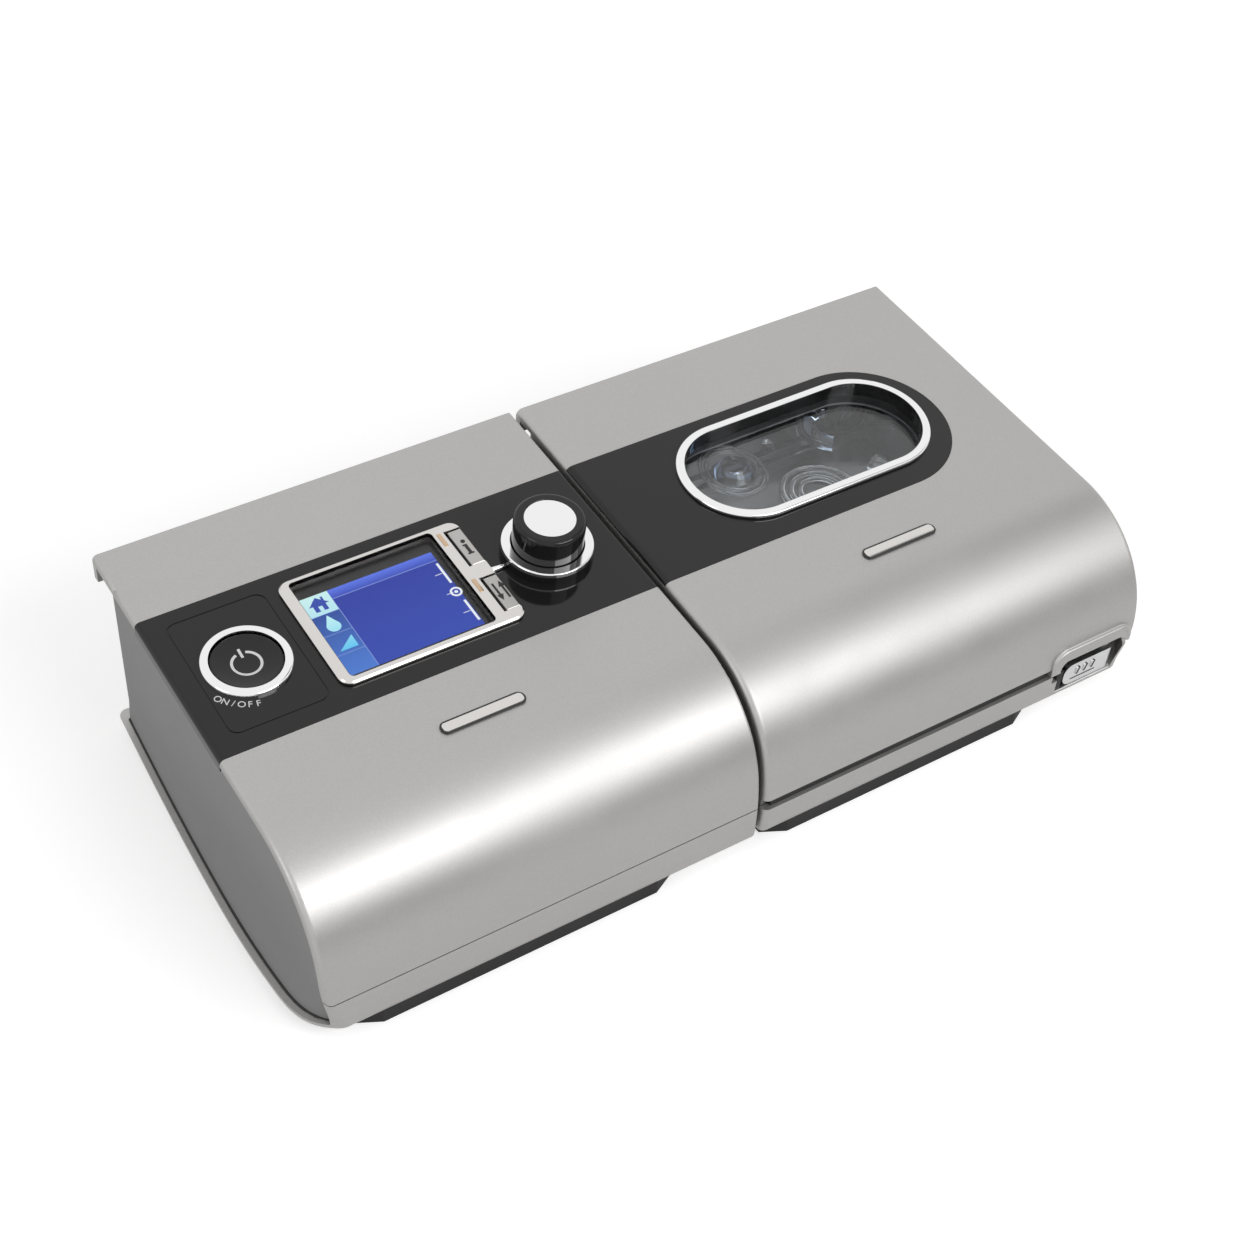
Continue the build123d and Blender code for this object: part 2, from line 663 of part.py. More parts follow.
# ---- humidifier: chassis ----
def hm_base_tray():
    tray = wrap(HM_SKIN) & below(HM_TRAY_TOP) & tray_plan()
    tray -= box(115.4, 119.0, -90, -55, 12.4, 40)
    tray -= box(117.8, 170, -90, -68, LATCH[2] - 0.6, 40)
    tray += box(116, 147.4, -65.9, -63.5, FLOOR_Z - 1, 14)
    end_skin_only = HM_SKIN - mirror(bowed_end(CORNER_T), about=Plane.YZ)
    tray += end_skin_only & box(130, 170, -90, -62, TRAY_Z, HM_TRAY_TOP)
    for x, y in ((12, -44), (138, -44), (12, 56), (138, 56)):
        tray += rod_z(x, y, FLOOR_Z - 1, 12, 4.0)
        tray -= rod_z(x, y, TRAY_Z - 1, TRAY_Z + 3, 3.0)
        tray -= rod_z(x, y, TRAY_Z - 1, 13, 1.6)
    return tray


def side_corner():
    """Rear top corner that the side walls leave free for the swinging lid."""
    return box(-10, 160, HINGE_Y - 4, 90, HINGE_Z, 90)


def hm_right_panel():
    panel = mirror(end_wall(WALL + 0.45, REAR_IN - 0.1), about=Plane.YZ) - side_corner()
    return panel - box(140, 170, -90, -65.6, 0, 18)


def hm_left_panel():
    """Wall towards the flow generator, with openings for the air and the connector."""
    panel = block(WALL + 0.45, HM_START + 0.8, HM_START + 2.8, REAR_IN - 0.1) - side_corner()
    panel -= rod_x(HM_START - 1, HM_START + 4, DUCT_Y, DUCT_Z, 9.4)
    return panel - box(HM_START - 1, HM_START + 4, -24.4, -3.6, 13.6, 24.4)


def hm_rear_panel():
    """Rear wall with the round pocket of the air outlet and the two hinge posts."""
    x0, x1 = HM_START + 0.6, RIGHT_X - PANEL_INSET - 0.1
    panel = block(WALL + 0.15, x0, x1, REAR_OUT) & box(-5, 160, REAR_IN, 80, 0, HINGE_Z - 1.5)
    panel += rod_y(PORT_X, 51, REAR_OUT, PORT_Z, POCKET_R + 1.6)
    panel -= rod_y(PORT_X, 52.6, 80, PORT_Z, POCKET_R)
    panel -= rod_y(PORT_X, 45, 60, PORT_Z, PORT_R + 0.02)
    for a, b in POSTS:
        post = box(a, b, REAR_IN, HINGE_Y, 52, HINGE_Z) + rod_x(a, b, HINGE_Y, HINGE_Z, KNUCKLE_R)
        gusset = box(a, b, REAR_IN, HINGE_Y + KNUCKLE_R, 57, HINGE_Z)
        ear_x = b + 0.5 if a < WIN_X else a - 0.5 - EAR_T
        panel -= box(ear_x - 0.5, ear_x + EAR_T + 0.5, 60, 80, HINGE_Z - KNUCKLE_R - 0.6, 80)
        panel += post + gusset
        panel -= rod_x(a - 1, b + 1, HINGE_Y, HINGE_Z, HINGE_PIN_R)
    return panel


def hinge_pins():
    a, b = POSTS
    left = rod_x(a[0], a[1] + 0.5 + EAR_T, HINGE_Y, HINGE_Z, HINGE_PIN_R)
    right = rod_x(b[0] - 0.5 - EAR_T, b[1], HINGE_Y, HINGE_Z, HINGE_PIN_R)
    return Compound(children=[left, right])


def hm_chamber_liner():
    """Black inner wall that closes the slot between lid and tray from behind."""
    ring = block(3.2, 1.2, 146.2, REAR_IN) - block(4.8, 0, 148, BACK_Y + 1)
    front = ring & box(1.2, 146.2, -80, -52, FLOOR_Z + 6, 27)
    foot = box(1.2, 146.2, -66, -64.4, FLOOR_Z, FLOOR_Z + 8)
    foot += box(1.2, 146.2, -70, -64.4, FLOOR_Z + 6.6, FLOOR_Z + 8)
    liner = (front + foot) - box(112.5, 150, -80, -63, 0, 23.5)
    strip = block(1.2, 1.2, 112.5) - block(3.6, 0, 148, BACK_Y + 1)
    return liner + (strip & box(0, 113, -80, -60, HM_TRAY_TOP + 0.2, LID_SEAM - 0.5))


def latch_slider():
    """Lever that slides sideways to free the lid, with its catch behind the lid's edge."""
    x0, x1, z0, z1 = LATCH
    plate = box(x0, x1, -73.4, -66.3, z0, z1)
    left = [e for e in plate.edges().filter_by(Axis.Y) if e.center().X < x0 + 1]
    plate = fillet(left, 3.8)
    plate -= box(x1 - 1.2, 150, -80, -60, 13.4, 20)
    corner = [e for e in plate.edges().filter_by(Axis.Z) if e.center().X > x1 - 0.1 and e.center().Y < -73]
    plate = fillet(corner, 3.6)
    for step in range(3):
        x = x0 + 5.2 + 3.3 * step
        plate += box(x, x + 1.2, -73.8, -73.0, 11.3, 14)
    return plate + box(x0 + 5.5, x0 + 11, -69, -66.3, z1 - 1, z1 + 1.2)


# ---- humidifier: water tub and heater ----
def tub_box(grow, z0, z1):
    x0, x1, y0, y1 = 20 - grow, 138 + grow, -46 - grow, 46 + grow
    shape = Pos((x0 + x1) / 2, (y0 + y1) / 2, z0) * RectangleRounded(x1 - x0, y1 - y0, 12 + grow)
    return extrude(shape, amount=z1 - z0)


def tub_base():
    """Clear lower half of the water tub, open at the top and over its metal floor."""
    tub = tub_box(0, 13, 34) - tub_box(-2, 15, 40)
    rim = tub_box(2, 32.4, 34) - tub_box(-2, 30, 40)
    return tub + rim - box(34, 124, -34, 34, 10, 18)


def tub_plate():
    """Metal floor that passes the heat into the water."""
    return box(31, 127, -37, 37, 10.8, 13) + box(34.2, 123.8, -33.8, 33.8, 13, 15)


def tub_lid():
    """Clear upper half, with an inlet on its left and the outlet at its rear."""
    lid = tub_box(2, 34, 38) + tub_box(-1, 38, 50)
    lid -= tub_box(-3, 30, 48)
    lid += rod_y(PORT_X, 42, 48.4, PORT_Z, 7.0) - rod_y(PORT_X, 44, 50, PORT_Z, 5.5)
    lid -= rod_y(PORT_X, 35, 50, PORT_Z, 5.5)
    return lid - rod_x(15, 26, DUCT_Y - 6, 42, 5)


def heater_plate():
    plate = box(33, 125, -36, 36, 8.4, 10.6)
    for x, y in ((40, -30), (118, -30), (40, 30), (118, 30)):
        plate += rod_z(x, y, FLOOR_Z, 9, 3)
    return plate


def hm_board():
    board = box(8, 9.6, -40, 20, 8, 40)
    return board + box(9.6, 13, -30, -14, 14, 30)


def air_outlet():
    """Outlet port for a standard 22 mm hose, with its flange inside the pocket."""
    tube = rod_y(PORT_X, 48.8, BACK_Y - 0.5, PORT_Z, PORT_R)
    tube += rod_y(PORT_X, 52.7, 54.2, PORT_Z, PORT_R + 2)
    return tube - rod_y(PORT_X, 45, 80, PORT_Z, PORT_BORE)


# ---- shared small parts ----
def foot_strip(x0, x1, y0, y1, skin):
    """Rubber strip under a tray, its front corners cut away at a slant."""
    taper = 8.0
    front = [(x1, y0 + taper / 2), (x1 - taper, y0), (x0 + taper, y0), (x0, y0 + taper / 2)]
    points = [(x0, y1), (x1, y1), *front]
    strip = extrude(make_face(Polyline(*points, close=True)), amount=TRAY_Z + 1.6)
    return strip - skin


def rubber_feet():
    group = []
    for x0, x1, skin in ((-141, -32, FG_SKIN), (1, 110, HM_SKIN)):
        group.append(foot_strip(x0, x1, -73.6, -58, skin))
        group.append(foot_strip(x0 + 6, x1 + 20, 54, 66, skin))
    return Compound(children=group)


def case_screws():
    group = []
    for x, y, length in (
        [(x, y, 42) for x in (-138, -16) for y in (-44, 52)]
        + [(x, y, 6) for x in (12, 138) for y in (-44, 56)]
    ):
        head = rod_z(x, y, TRAY_Z + 0.8, TRAY_Z + 2.9, 2.8)
        group.append(head + rod_z(x, y, TRAY_Z + 2, TRAY_Z + 2 + length, 1.2))
    return Compound(children=group)


PARTS = {
    "fg_base_tray": fg_base_tray,
    "fg_top_shell": fg_top_shell,
    "fg_left_panel": fg_left_panel,
    "fg_inner_panel": fg_inner_panel,
    "fg_rear_panel": fg_rear_panel,
    "control_fascia": control_fascia,
    "start_ring": start_ring,
    "start_button": start_button,
    "screen_bezel": screen_bezel,
    "screen_window": screen_window,
    "lcd_module": lcd_module,
    "info_key": lambda: soft_key(INFO_V),
    "setup_key": lambda: soft_key(SETUP_V),
    "dial_base": dial_base,
    "dial_ring": dial_ring,
    "dial_knob": dial_knob,
    "dial_cap": dial_cap,
    "dial_shaft": dial_shaft,
    "encoder_body": encoder_body,
    "encoder_plunger": encoder_plunger,
    "tact_switches": tact_switches,
    "control_board": control_board,
    "fg_badge": lambda: badge(-91.5, -63.5),
    "lid_badge": lambda: badge(61, 89.5),
    "air_filter": air_filter,
    "filter_cover": filter_cover,
    "power_socket": power_socket,
    "card_socket": card_socket,
    "memory_card": memory_card,
    "main_board": main_board,
    "dock_connector": dock_connector,
    "blower_volute_lower": blower_volute_lower,
    "blower_volute_upper": blower_volute_upper,
    "blower_motor": blower_motor,
    "motor_shaft": motor_shaft,
    "impeller": impeller,
    "blower_mounts": blower_mounts,
    "inlet_foam": inlet_foam,
    "outlet_duct": outlet_duct,
    "lid_shell": lid_shell,
    "lid_fascia": lid_fascia,
    "window_ring": window_ring,
    "window_lens": window_lens,
    "lid_liner": lid_liner,
    "lid_seal": lid_seal,
    "hm_base_tray": hm_base_tray,
    "hm_right_panel": hm_right_panel,
    "hm_left_panel": hm_left_panel,
    "hm_rear_panel": hm_rear_panel,
    "hinge_pins": hinge_pins,
    "hm_chamber_liner": hm_chamber_liner,
    "latch_slider": latch_slider,
    "tub_base": tub_base,
    "tub_plate": tub_plate,
    "tub_lid": tub_lid,
    "heater_plate": heater_plate,
    "hm_board": hm_board,
    "air_outlet": air_outlet,
    "rubber_feet": rubber_feet,
    "case_screws": case_screws,
}

for name, make in PARTS.items():
    export_step(make(), f"parts/{name}.step")
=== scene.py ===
import json
from contextlib import contextmanager
from math import atan2, cos, pi, radians, sin

import bmesh
import bpy
from bpy.props import FloatProperty, FloatVectorProperty, PointerProperty
from mathutils import Matrix, Vector


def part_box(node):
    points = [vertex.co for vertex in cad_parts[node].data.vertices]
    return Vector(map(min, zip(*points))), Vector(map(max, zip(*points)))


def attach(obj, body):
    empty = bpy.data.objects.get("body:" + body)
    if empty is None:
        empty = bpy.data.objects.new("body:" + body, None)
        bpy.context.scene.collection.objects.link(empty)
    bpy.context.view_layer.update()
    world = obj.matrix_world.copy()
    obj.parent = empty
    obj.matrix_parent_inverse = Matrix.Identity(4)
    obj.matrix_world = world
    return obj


bl_info = {
    "name": "Bedside breathing machine",
    "version": (1, 0, 0),
    "blender": (4, 5, 0),
    "location": "View3D > Sidebar > Breathing machine",
    "description": "Finishes and fine pieces for a breathing machine with a heated humidifier",
    "category": "Object",
}

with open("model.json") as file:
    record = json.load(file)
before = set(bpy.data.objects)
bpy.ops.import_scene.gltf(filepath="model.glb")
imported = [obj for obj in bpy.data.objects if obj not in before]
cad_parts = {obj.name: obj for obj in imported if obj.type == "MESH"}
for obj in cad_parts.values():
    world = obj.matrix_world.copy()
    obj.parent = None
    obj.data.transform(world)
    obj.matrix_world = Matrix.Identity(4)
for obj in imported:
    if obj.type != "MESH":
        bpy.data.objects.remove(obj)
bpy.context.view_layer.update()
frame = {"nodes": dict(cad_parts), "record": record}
NODES = frame["nodes"]

MM = 0.001

# ---- frame of the sloping top: x along the machine, v up the slope, w out of it ----
CASE_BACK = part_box("fg_top_shell")[1]
SLOPE = radians(5)
BAND_MID_Y = 15 * MM
BAND_MID_Z = CASE_BACK.z - (CASE_BACK.y - BAND_MID_Y) * sin(SLOPE) / cos(SLOPE)
TOP = Matrix.Translation((0, BAND_MID_Y, BAND_MID_Z)) @ Matrix.Rotation(SLOPE, 4, "X")


def in_top(node):
    """Two corners of a node in the frame of the sloping top, in millimetres."""
    place = TOP.inverted() @ NODES[node].matrix_world
    axes = list(zip(*(place @ vert.co / MM for vert in NODES[node].data.vertices)))
    return Vector([min(axis) for axis in axes]), Vector([max(axis) for axis in axes])


def in_mm(node):
    """Two corners of a node in millimetres."""
    return [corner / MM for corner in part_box(node)]


# ---- fine dimensions, in millimetres ----
LIT = (-103.8, -58.8, -17.0, 16.4)  # lit area of the display: x from and to, v from and to
TILE_W = 9.2
HEADER_H = 3.8
DIAL_MARK_V = -1.7
LAYER = 0.02
PLATE_RISE = 0.01
POWER_R = 4.6
POWER_STROKE = 0.8
POWER_GAP = radians(22)  # on each side of the stroke
POWER_LIFT = 0.3
STROKE_MID, STROKE_LENGTH = 0.89, 0.7  # as shares of POWER_R
PRINT_H = 0.07
WORDS_AT = 235  # degrees round the start button's ring
WORDS_STEP = 8.6  # degrees from letter to letter
WORDS_OUT = 2.3
WORDS_SIZE = 3.1
WORDS_H = 0.04  # half of the letters' thickness
BADGE_BORDER = 0.7
# openings inside which the frame colour is darkened as painted shade
SCREEN_OPENING = (-80.6, 16.05, 22.9, 19.15, 1.55)  # middle x and y, half sizes, corner radius
WINDOW_OPENING = (74.2, 16.5, 24.9, 0.0, 19.56)
DUCT_AT = (82, 6)
RINGS_AT = (76, 8)
INLET_AT = (57, 31)
ELBOW_AT = (102, 34)
KNOB_AT = (75, 36)
LATCH_RIM = (115.0, 147.2, 18.2, 24.8, -73.88)  # x from and to, z of the feet and of the top, y
LATCH_BEND = 4.8
LATCH_BEAD = 1.0
GRIP_PITCH = 3.3
# the seal strand also paints the shade of the gap
SEAM_WIRE = 0.55
SEAM_STEP = 4  # way between two points of a seal
SCREW_CELL = 20  # grid in which each screw has a cell to itself
RATING_PLATE = (-112, -58, -18, 22)  # x from and to, y from and to
RIB_PITCH = 6.0
PIN_PITCH = 4.2
SMOOTH_BELOW = radians(35)


# ---- modelling, as by hand; sizes in millimetres of the frame a piece is made in ----
def select_none():
    """Leaves edit mode and deselects everything."""
    if bpy.context.object and bpy.context.object.mode != "OBJECT":
        bpy.ops.object.mode_set(mode="OBJECT")
    bpy.ops.object.select_all(action="DESELECT")


def select_only(*pieces):
    """Selects these objects and makes the first one active."""
    select_none()
    for piece in pieces:
        piece.select_set(True)
    bpy.context.view_layer.objects.active = pieces[0]


def settle():
    """Moves the active object's place, turn and size into its mesh; gives the object."""
    bpy.ops.object.transform_apply()
    return bpy.context.object


def disc(place, radius, corners, turn=(0, 0, 0)):
    """Filled circle primitive, from which bars are drawn."""
    select_none()
    bpy.ops.mesh.primitive_circle_add(
        vertices=corners, radius=radius * MM, fill_type="NGON",
        location=Vector(place) * MM, rotation=turn,
    )
    return settle()


def block(x0, x1, y0, y1, z0, z1):
    """Cube primitive between two corners."""
    select_none()
    size = Vector((x1 - x0, y1 - y0, z1 - z0)) * MM
    place = Vector((x0 + x1, y0 + y1, z0 + z1)) * MM / 2
    bpy.ops.mesh.primitive_cube_add(size=1, location=place, scale=size)
    return settle()


def rod(place, radius, length, turn=(0, 0, 0), corners=24, tip=None):
    """Cylinder primitive round a middle point, or a cone when it has another tip radius."""
    select_none()
    tip = radius if tip is None else tip
    bpy.ops.mesh.primitive_cone_add(
        vertices=corners, radius1=radius * MM, radius2=tip * MM, depth=length * MM,
        location=Vector(place) * MM, rotation=turn,
    )
    return settle()


@contextmanager
def editing(piece, whole=False):
    """Edit mode on one piece, with all of it selected if asked."""
    select_only(piece)
    bpy.ops.object.mode_set(mode="EDIT")
    if whole:
        bpy.ops.mesh.select_all(action="SELECT")
    yield
    bpy.ops.object.mode_set(mode="OBJECT")


def pick(kind, test):
    """In edit mode, selects the corners, edges or faces whose place and direction pass a test."""
    bpy.ops.mesh.select_mode(type=kind)
    bpy.ops.mesh.select_all(action="DESELECT")
    shape = bmesh.from_edit_mesh(bpy.context.object.data)
    items = {"VERT": shape.verts, "EDGE": shape.edges, "FACE": shape.faces}[kind]
    for item in items:
        corners = [item.co] if kind == "VERT" else [corner.co for corner in item.verts]
        place = sum(corners, Vector()) / len(corners) / MM
        facing = (corners[1] - corners[0]).normalized() if kind == "EDGE" else item.normal
        if test(place, facing):
            item.select_set(True)
    bmesh.update_edit_mesh(bpy.context.object.data)


def draw_out(move):
    """In edit mode, extrudes what is selected by a move in metres."""
    bpy.ops.mesh.extrude_region_move(TRANSFORM_OT_translate={"value": move})


def hoop(place, radius, wire, turn=(0, 0, 0)):
    """Moulded ring: a torus whose upper side is pressed nearly flat."""
    select_none()
    bpy.ops.mesh.primitive_torus_add(
        major_segments=64, minor_segments=12, major_radius=radius * MM, minor_radius=wire * MM
    )
    ring = settle()
    shoulder = wire * 0.4
    with editing(ring):
        pick("VERT", lambda spot, _: spot.z > shoulder)
        bpy.ops.transform.resize(value=(1, 1, 0.3), center_override=(0, 0, shoulder * MM))
    ring.location, ring.rotation_euler = Vector(place) * MM, turn
    return settle()


def soften(piece, test, width, steps):
    """Bevels the edges that pass a test."""
    with editing(piece):
        pick("EDGE", test)
        bpy.ops.mesh.bevel(offset=width * MM, segments=steps)


def crown(piece, rim, rise):
    """Insets the upper face and lifts what is left in the middle."""
    top = max(corner.co.z for corner in piece.data.vertices) / MM
    with editing(piece):
        pick("FACE", lambda place, facing: facing.z > 0.9 and place.z > top - 0.001)
        bpy.ops.mesh.inset(thickness=rim * MM)
        bpy.ops.transform.translate(value=(0, 0, rise * MM))
    return piece


def plate(x0, x1, y0, y1, z0, z1, rim=0.12):
    """Thin plate with a slightly raised middle."""
    return crown(block(x0, x1, y0, y1, z0, z1), rim, PLATE_RISE)


def join(*pieces):
    """Makes one object of several."""
    select_only(*pieces)
    bpy.ops.object.join()
    return bpy.context.object


def copy_of(piece, x=0.0, y=0.0, z=0.0):
    """Copy with its own mesh, moved."""
    select_only(piece)
    bpy.ops.object.duplicate()
    bpy.ops.transform.translate(value=Vector((x, y, z)) * MM)
    return settle()


def keep(piece, name, material, body, place=None):
    """Places and cleans a piece, gives it its finish and says what carries it."""
    if place:
        piece.matrix_world = place @ piece.matrix_world
    select_only(piece)
    settle()
    with editing(piece, whole=True):
        bpy.ops.mesh.remove_doubles(threshold=0.002 * MM)
        bpy.ops.mesh.normals_make_consistent()
    bpy.ops.object.shade_smooth_by_angle(angle=SMOOTH_BELOW)
    piece.name = piece.data.name = name
    piece.data.materials.clear()
    piece.data.materials.append(FINISHES[material])
    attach(piece, body)


# ---- display ----
def pointed(x0, x1, y0, y1, z0, z1, lean):
    """Plate whose upper edge shrinks to a point: lean 0 in its middle, 1 at its right end."""
    piece = block(x0, x1, y0, y1, z0, z1)
    point = (x0 + x1) / 2 + lean * (x1 - x0) / 2
    with editing(piece):
        pick("VERT", lambda place, _: place.y > (y0 + y1) / 2)
        bpy.ops.transform.resize(value=(0.03, 1, 1), center_override=Vector((point, y1, z1)) * MM)
    return piece


def lit(piece, name, finish_name):
    """Keeps a piece of the display's picture."""
    keep(piece, name, finish_name, "housing", TOP)


def display_fields():
    """Field, header and the column of four tiles."""
    x0, x1, v0, v1 = LIT
    low = in_top("lcd_module")[1].z
    edge, step = x0 + TILE_W, (v1 - v0) / 4
    lit(plate(edge, x1, v0, v1 - HEADER_H, low, low + LAYER), "display_field", "lit_field")
    lit(plate(edge, x1, v1 - HEADER_H, v1, low, low + LAYER), "display_header", "lit_header")
    first = plate(x0, edge, v1 - step, v1, low, low + LAYER, 0.2)
    tiles = [copy_of(first, y=-step * row) for row in (1, 2, 3)]
    lit(first, "display_tile_1", "lit_home")
    for row, tile in enumerate(tiles, 2):
        lit(tile, f"display_tile_{row}", "lit_tile")


def display_signs():
    """House, drop and ramp on the tiles."""
    x0, _, v0, v1 = LIT
    low = in_top("lcd_module")[1].z + 2 * LAYER
    high = low + LAYER
    mid, step = x0 + TILE_W / 2, (v1 - v0) / 4
    base = v1 - step
    house = plate(mid - 2.1, mid + 2.1, base + 1.5, base + 4.4, low, high)
    roof = pointed(mid - 3.3, mid + 3.3, base + 4.1, base + 7.2, low, high, 0)
    chimney = plate(mid + 1.5, mid + 2.2, base + 5.2, base + 7.0, low, high)
    lit(join(house, roof, chimney), "display_house", "lit_house")
    door = plate(mid - 0.65, mid + 0.65, base + 1.5, base + 3.5, high + LAYER, high + 2 * LAYER)
    lit(door, "display_door", "lit_home")
    base -= step
    drop = crown(rod((mid, base + 2.9, (low + high) / 2), 2.2, LAYER, corners=40), 0.3, 0.005)
    tip = pointed(mid - 1.9, mid + 1.9, base + 3.9, base + 7.6, low, high, 0)
    lit(join(drop, tip), "display_drop", "lit_drop")
    base -= step
    ramp = pointed(mid - 3.0, mid + 3.0, base + 1.3, base + 5.9, low, high, 1)
    lit(ramp, "display_ramp", "lit_drop")


def display_marks():
    """Rules between the fields, and the bars, ring and leader lines beside the controls."""
    x0, x1, v0, v1 = LIT
    low = in_top("lcd_module")[1].z + 2 * LAYER
    high = low + LAYER
    edge, step, head = x0 + TILE_W, (v1 - v0) / 4, v1 - HEADER_H
    rules = [plate(edge - 0.1, edge + 0.1, v0, head, low, high, 0.04)]
    rules.append(plate(edge, x1, head - 0.1, head + 0.1, low, high, 0.04))
    for row in (1, 2, 3):
        v = v1 - row * step
        rules.append(plate(x0, edge, v - 0.08, v + 0.08, low, high, 0.03))
    lit(join(*rules), "display_rules", "lit_rule")
    marks = [plate(x1 - 1.1, x1 - 0.3, DIAL_MARK_V + 3.9, DIAL_MARK_V + 13.0, low, high)]
    marks.append(plate(x1 - 1.1, x1 - 0.3, DIAL_MARK_V - 13.2, DIAL_MARK_V - 4.1, low, high))
    for v, reach in ((DIAL_MARK_V + 8.6, 3.6), (DIAL_MARK_V + 0.1, 4.4), (DIAL_MARK_V - 8.7, 3.6)):
        marks.append(plate(x1 - reach, x1 - reach + 2.3, v - 0.11, v + 0.11, low, high, 0.03))
    lit(join(*marks), "display_bars", "lit_mark")
    centre = Vector((x1 - 1.2, DIAL_MARK_V, (low + high) / 2))
    ring = hoop(centre, 1.6, 0.35)
    dot = rod(centre, 0.6, 0.7)
    both = join(ring, dot)
    with editing(both, whole=True):
        bpy.ops.transform.resize(value=(1, 1, 0.04), center_override=centre * MM)
    lit(both, "display_dial_mark", "lit_mark")


# ---- printing and small trim on the controls ----
def lay_on(piece, node):
    """Lays a flat print on a curved part and gives it its thickness."""
    piece.matrix_world = TOP @ piece.matrix_world
    select_only(piece)
    settle()
    wrap = piece.modifiers.new("Lay", "SHRINKWRAP")
    wrap.target = NODES[node]
    wrap.wrap_method = "NEAREST_SURFACEPOINT"
    wrap.wrap_mode = "ABOVE_SURFACE"
    wrap.offset = LAYER * MM
    bpy.ops.object.modifier_apply(modifier=wrap.name)
    body = piece.modifiers.new("Body", "SOLIDIFY")
    body.thickness = PRINT_H * MM
    body.offset = 1
    bpy.ops.object.modifier_apply(modifier=body.name)
    return piece


def power_sign():
    """Broken ring with a stroke in its gap, in the dish of the start button."""
    low, high = in_top("start_button")
    x, v, w = (low.x + high.x) / 2, (low.y + high.y) / 2, high.z + POWER_LIFT
    ring = disc((x, v, w), POWER_R, 72)
    with editing(ring, whole=True):
        bpy.ops.mesh.inset(thickness=POWER_STROKE * MM)

        def spare(place, _):
            out = place.xy - Vector((x, v))
            return out.length < POWER_R - POWER_STROKE or abs(atan2(out.x, out.y)) < POWER_GAP

        pick("FACE", spare)
        bpy.ops.mesh.delete(type="FACE")
    select_none()
    middle = Vector((x, v + POWER_R * STROKE_MID, w)) * MM
    bpy.ops.mesh.primitive_plane_add(size=MM, location=middle)
    bpy.context.object.scale = (POWER_STROKE, POWER_R * STROKE_LENGTH, 1)
    bar = settle()
    with editing(bar, whole=True):
        bpy.ops.mesh.subdivide(number_cuts=5)
    sign = lay_on(join(ring, bar), "start_button")
    keep(sign, "power_sign", "print_white", "start_button", None)


def switch_words():
    """ON and OFF along the lower left of the start button's ring."""
    low, high = in_top("start_ring")
    x, v = (low.x + high.x) / 2, (low.y + high.y) / 2
    radius = (high.x - low.x) / 2 + WORDS_OUT
    letters = []
    words = "ON/OFF"
    for place, text in enumerate(words):
        turn = radians(WORDS_AT + WORDS_STEP * (place - (len(words) - 1) / 2))
        select_none()
        spot = Vector((x + radius * cos(turn), v + radius * sin(turn), WORDS_H)) * MM
        bpy.ops.object.text_add(location=spot, rotation=(0, 0, turn + pi / 2))
        sign = bpy.context.object.data
        sign.body = text
        sign.align_x = sign.align_y = "CENTER"
        sign.size = WORDS_SIZE * MM
        sign.extrude = WORDS_H * MM
        bpy.ops.object.convert(target="MESH")
        letters.append(settle())
    keep(join(*letters), "on_off_words", "print_white", "housing", TOP)


def key_signs():
    """Plain signs on the two keys: an i, and two arrows."""
    low, high = in_top("info_key")
    w0, w1 = high.z - 0.01, high.z + PRINT_H
    x, v = high.x - 3.0, (low.y + high.y) / 2 - 0.2
    dot = rod((x, v + 2.6, (w0 + w1) / 2), 0.75, w1 - w0)
    stem = plate(x - 0.6, x + 0.5, v - 2.8, v + 1.2, w0, w1)
    cap = plate(x - 1.0, x - 0.5, v + 0.6, v + 1.2, w0, w1, 0.08)
    foot = plate(x - 1.1, x + 1.0, v - 3.2, v - 2.6, w0, w1, 0.08)
    keep(join(stem, dot, cap, foot), "info_sign", "dark_print_and_shade", "info_key", TOP)
    low, high = in_top("setup_key")
    v = (low.y + high.y) / 2 + 0.6
    arrows = []
    for side in (-1, 1):
        axis = x + side * 1.15
        shaft = plate(axis - 0.35, axis + 0.35, v - 3.6, v + 2.0, w0, w1, 0.06)
        head = pointed(axis - 1.05, axis + 1.05, v + 1.4, v + 3.8, w0, w1, 0)
        arrow = join(shaft, head)
        with editing(arrow, whole=True):
            centre = Vector((axis, v, w0)) * MM
            bpy.ops.transform.resize(value=(1, side, 1), center_override=centre)
        arrows.append(arrow)
    keep(join(*arrows), "setup_sign", "dark_print_and_shade", "setup_key", TOP)


def badge_plate(node, body):
    """Blank satin plate with a dark outline left round it."""
    low, high = in_top(node)
    piece = block(
        low.x + BADGE_BORDER, high.x - BADGE_BORDER, low.y + BADGE_BORDER, high.y - BADGE_BORDER,
        high.z - 0.05, high.z + 0.2,
    )
    soften(piece, lambda _, along: abs(along.z) > 0.9, 1.2, 6)
    crown(piece, 0.3, 0.08)
    keep(piece, node + "_plate", "satin_trim", body, TOP)


def guide_pin():
    """Small chrome pin that points from the display's frame to the dial."""
    x0 = in_top("screen_bezel")[1].x - 0.5
    x1 = in_top("dial_base")[0].x + 0.3
    pin = rod(((x0 + x1) / 2, -0.4, 0.75), 0.95, x1 - x0, (0, pi / 2, 0), tip=0.55)
    soften(pin, lambda place, _: place.x < x0 + 0.01 or place.x > x1 - 0.01, 0.12, 2)
    keep(pin, "guide_pin", "chrome", "housing", TOP)


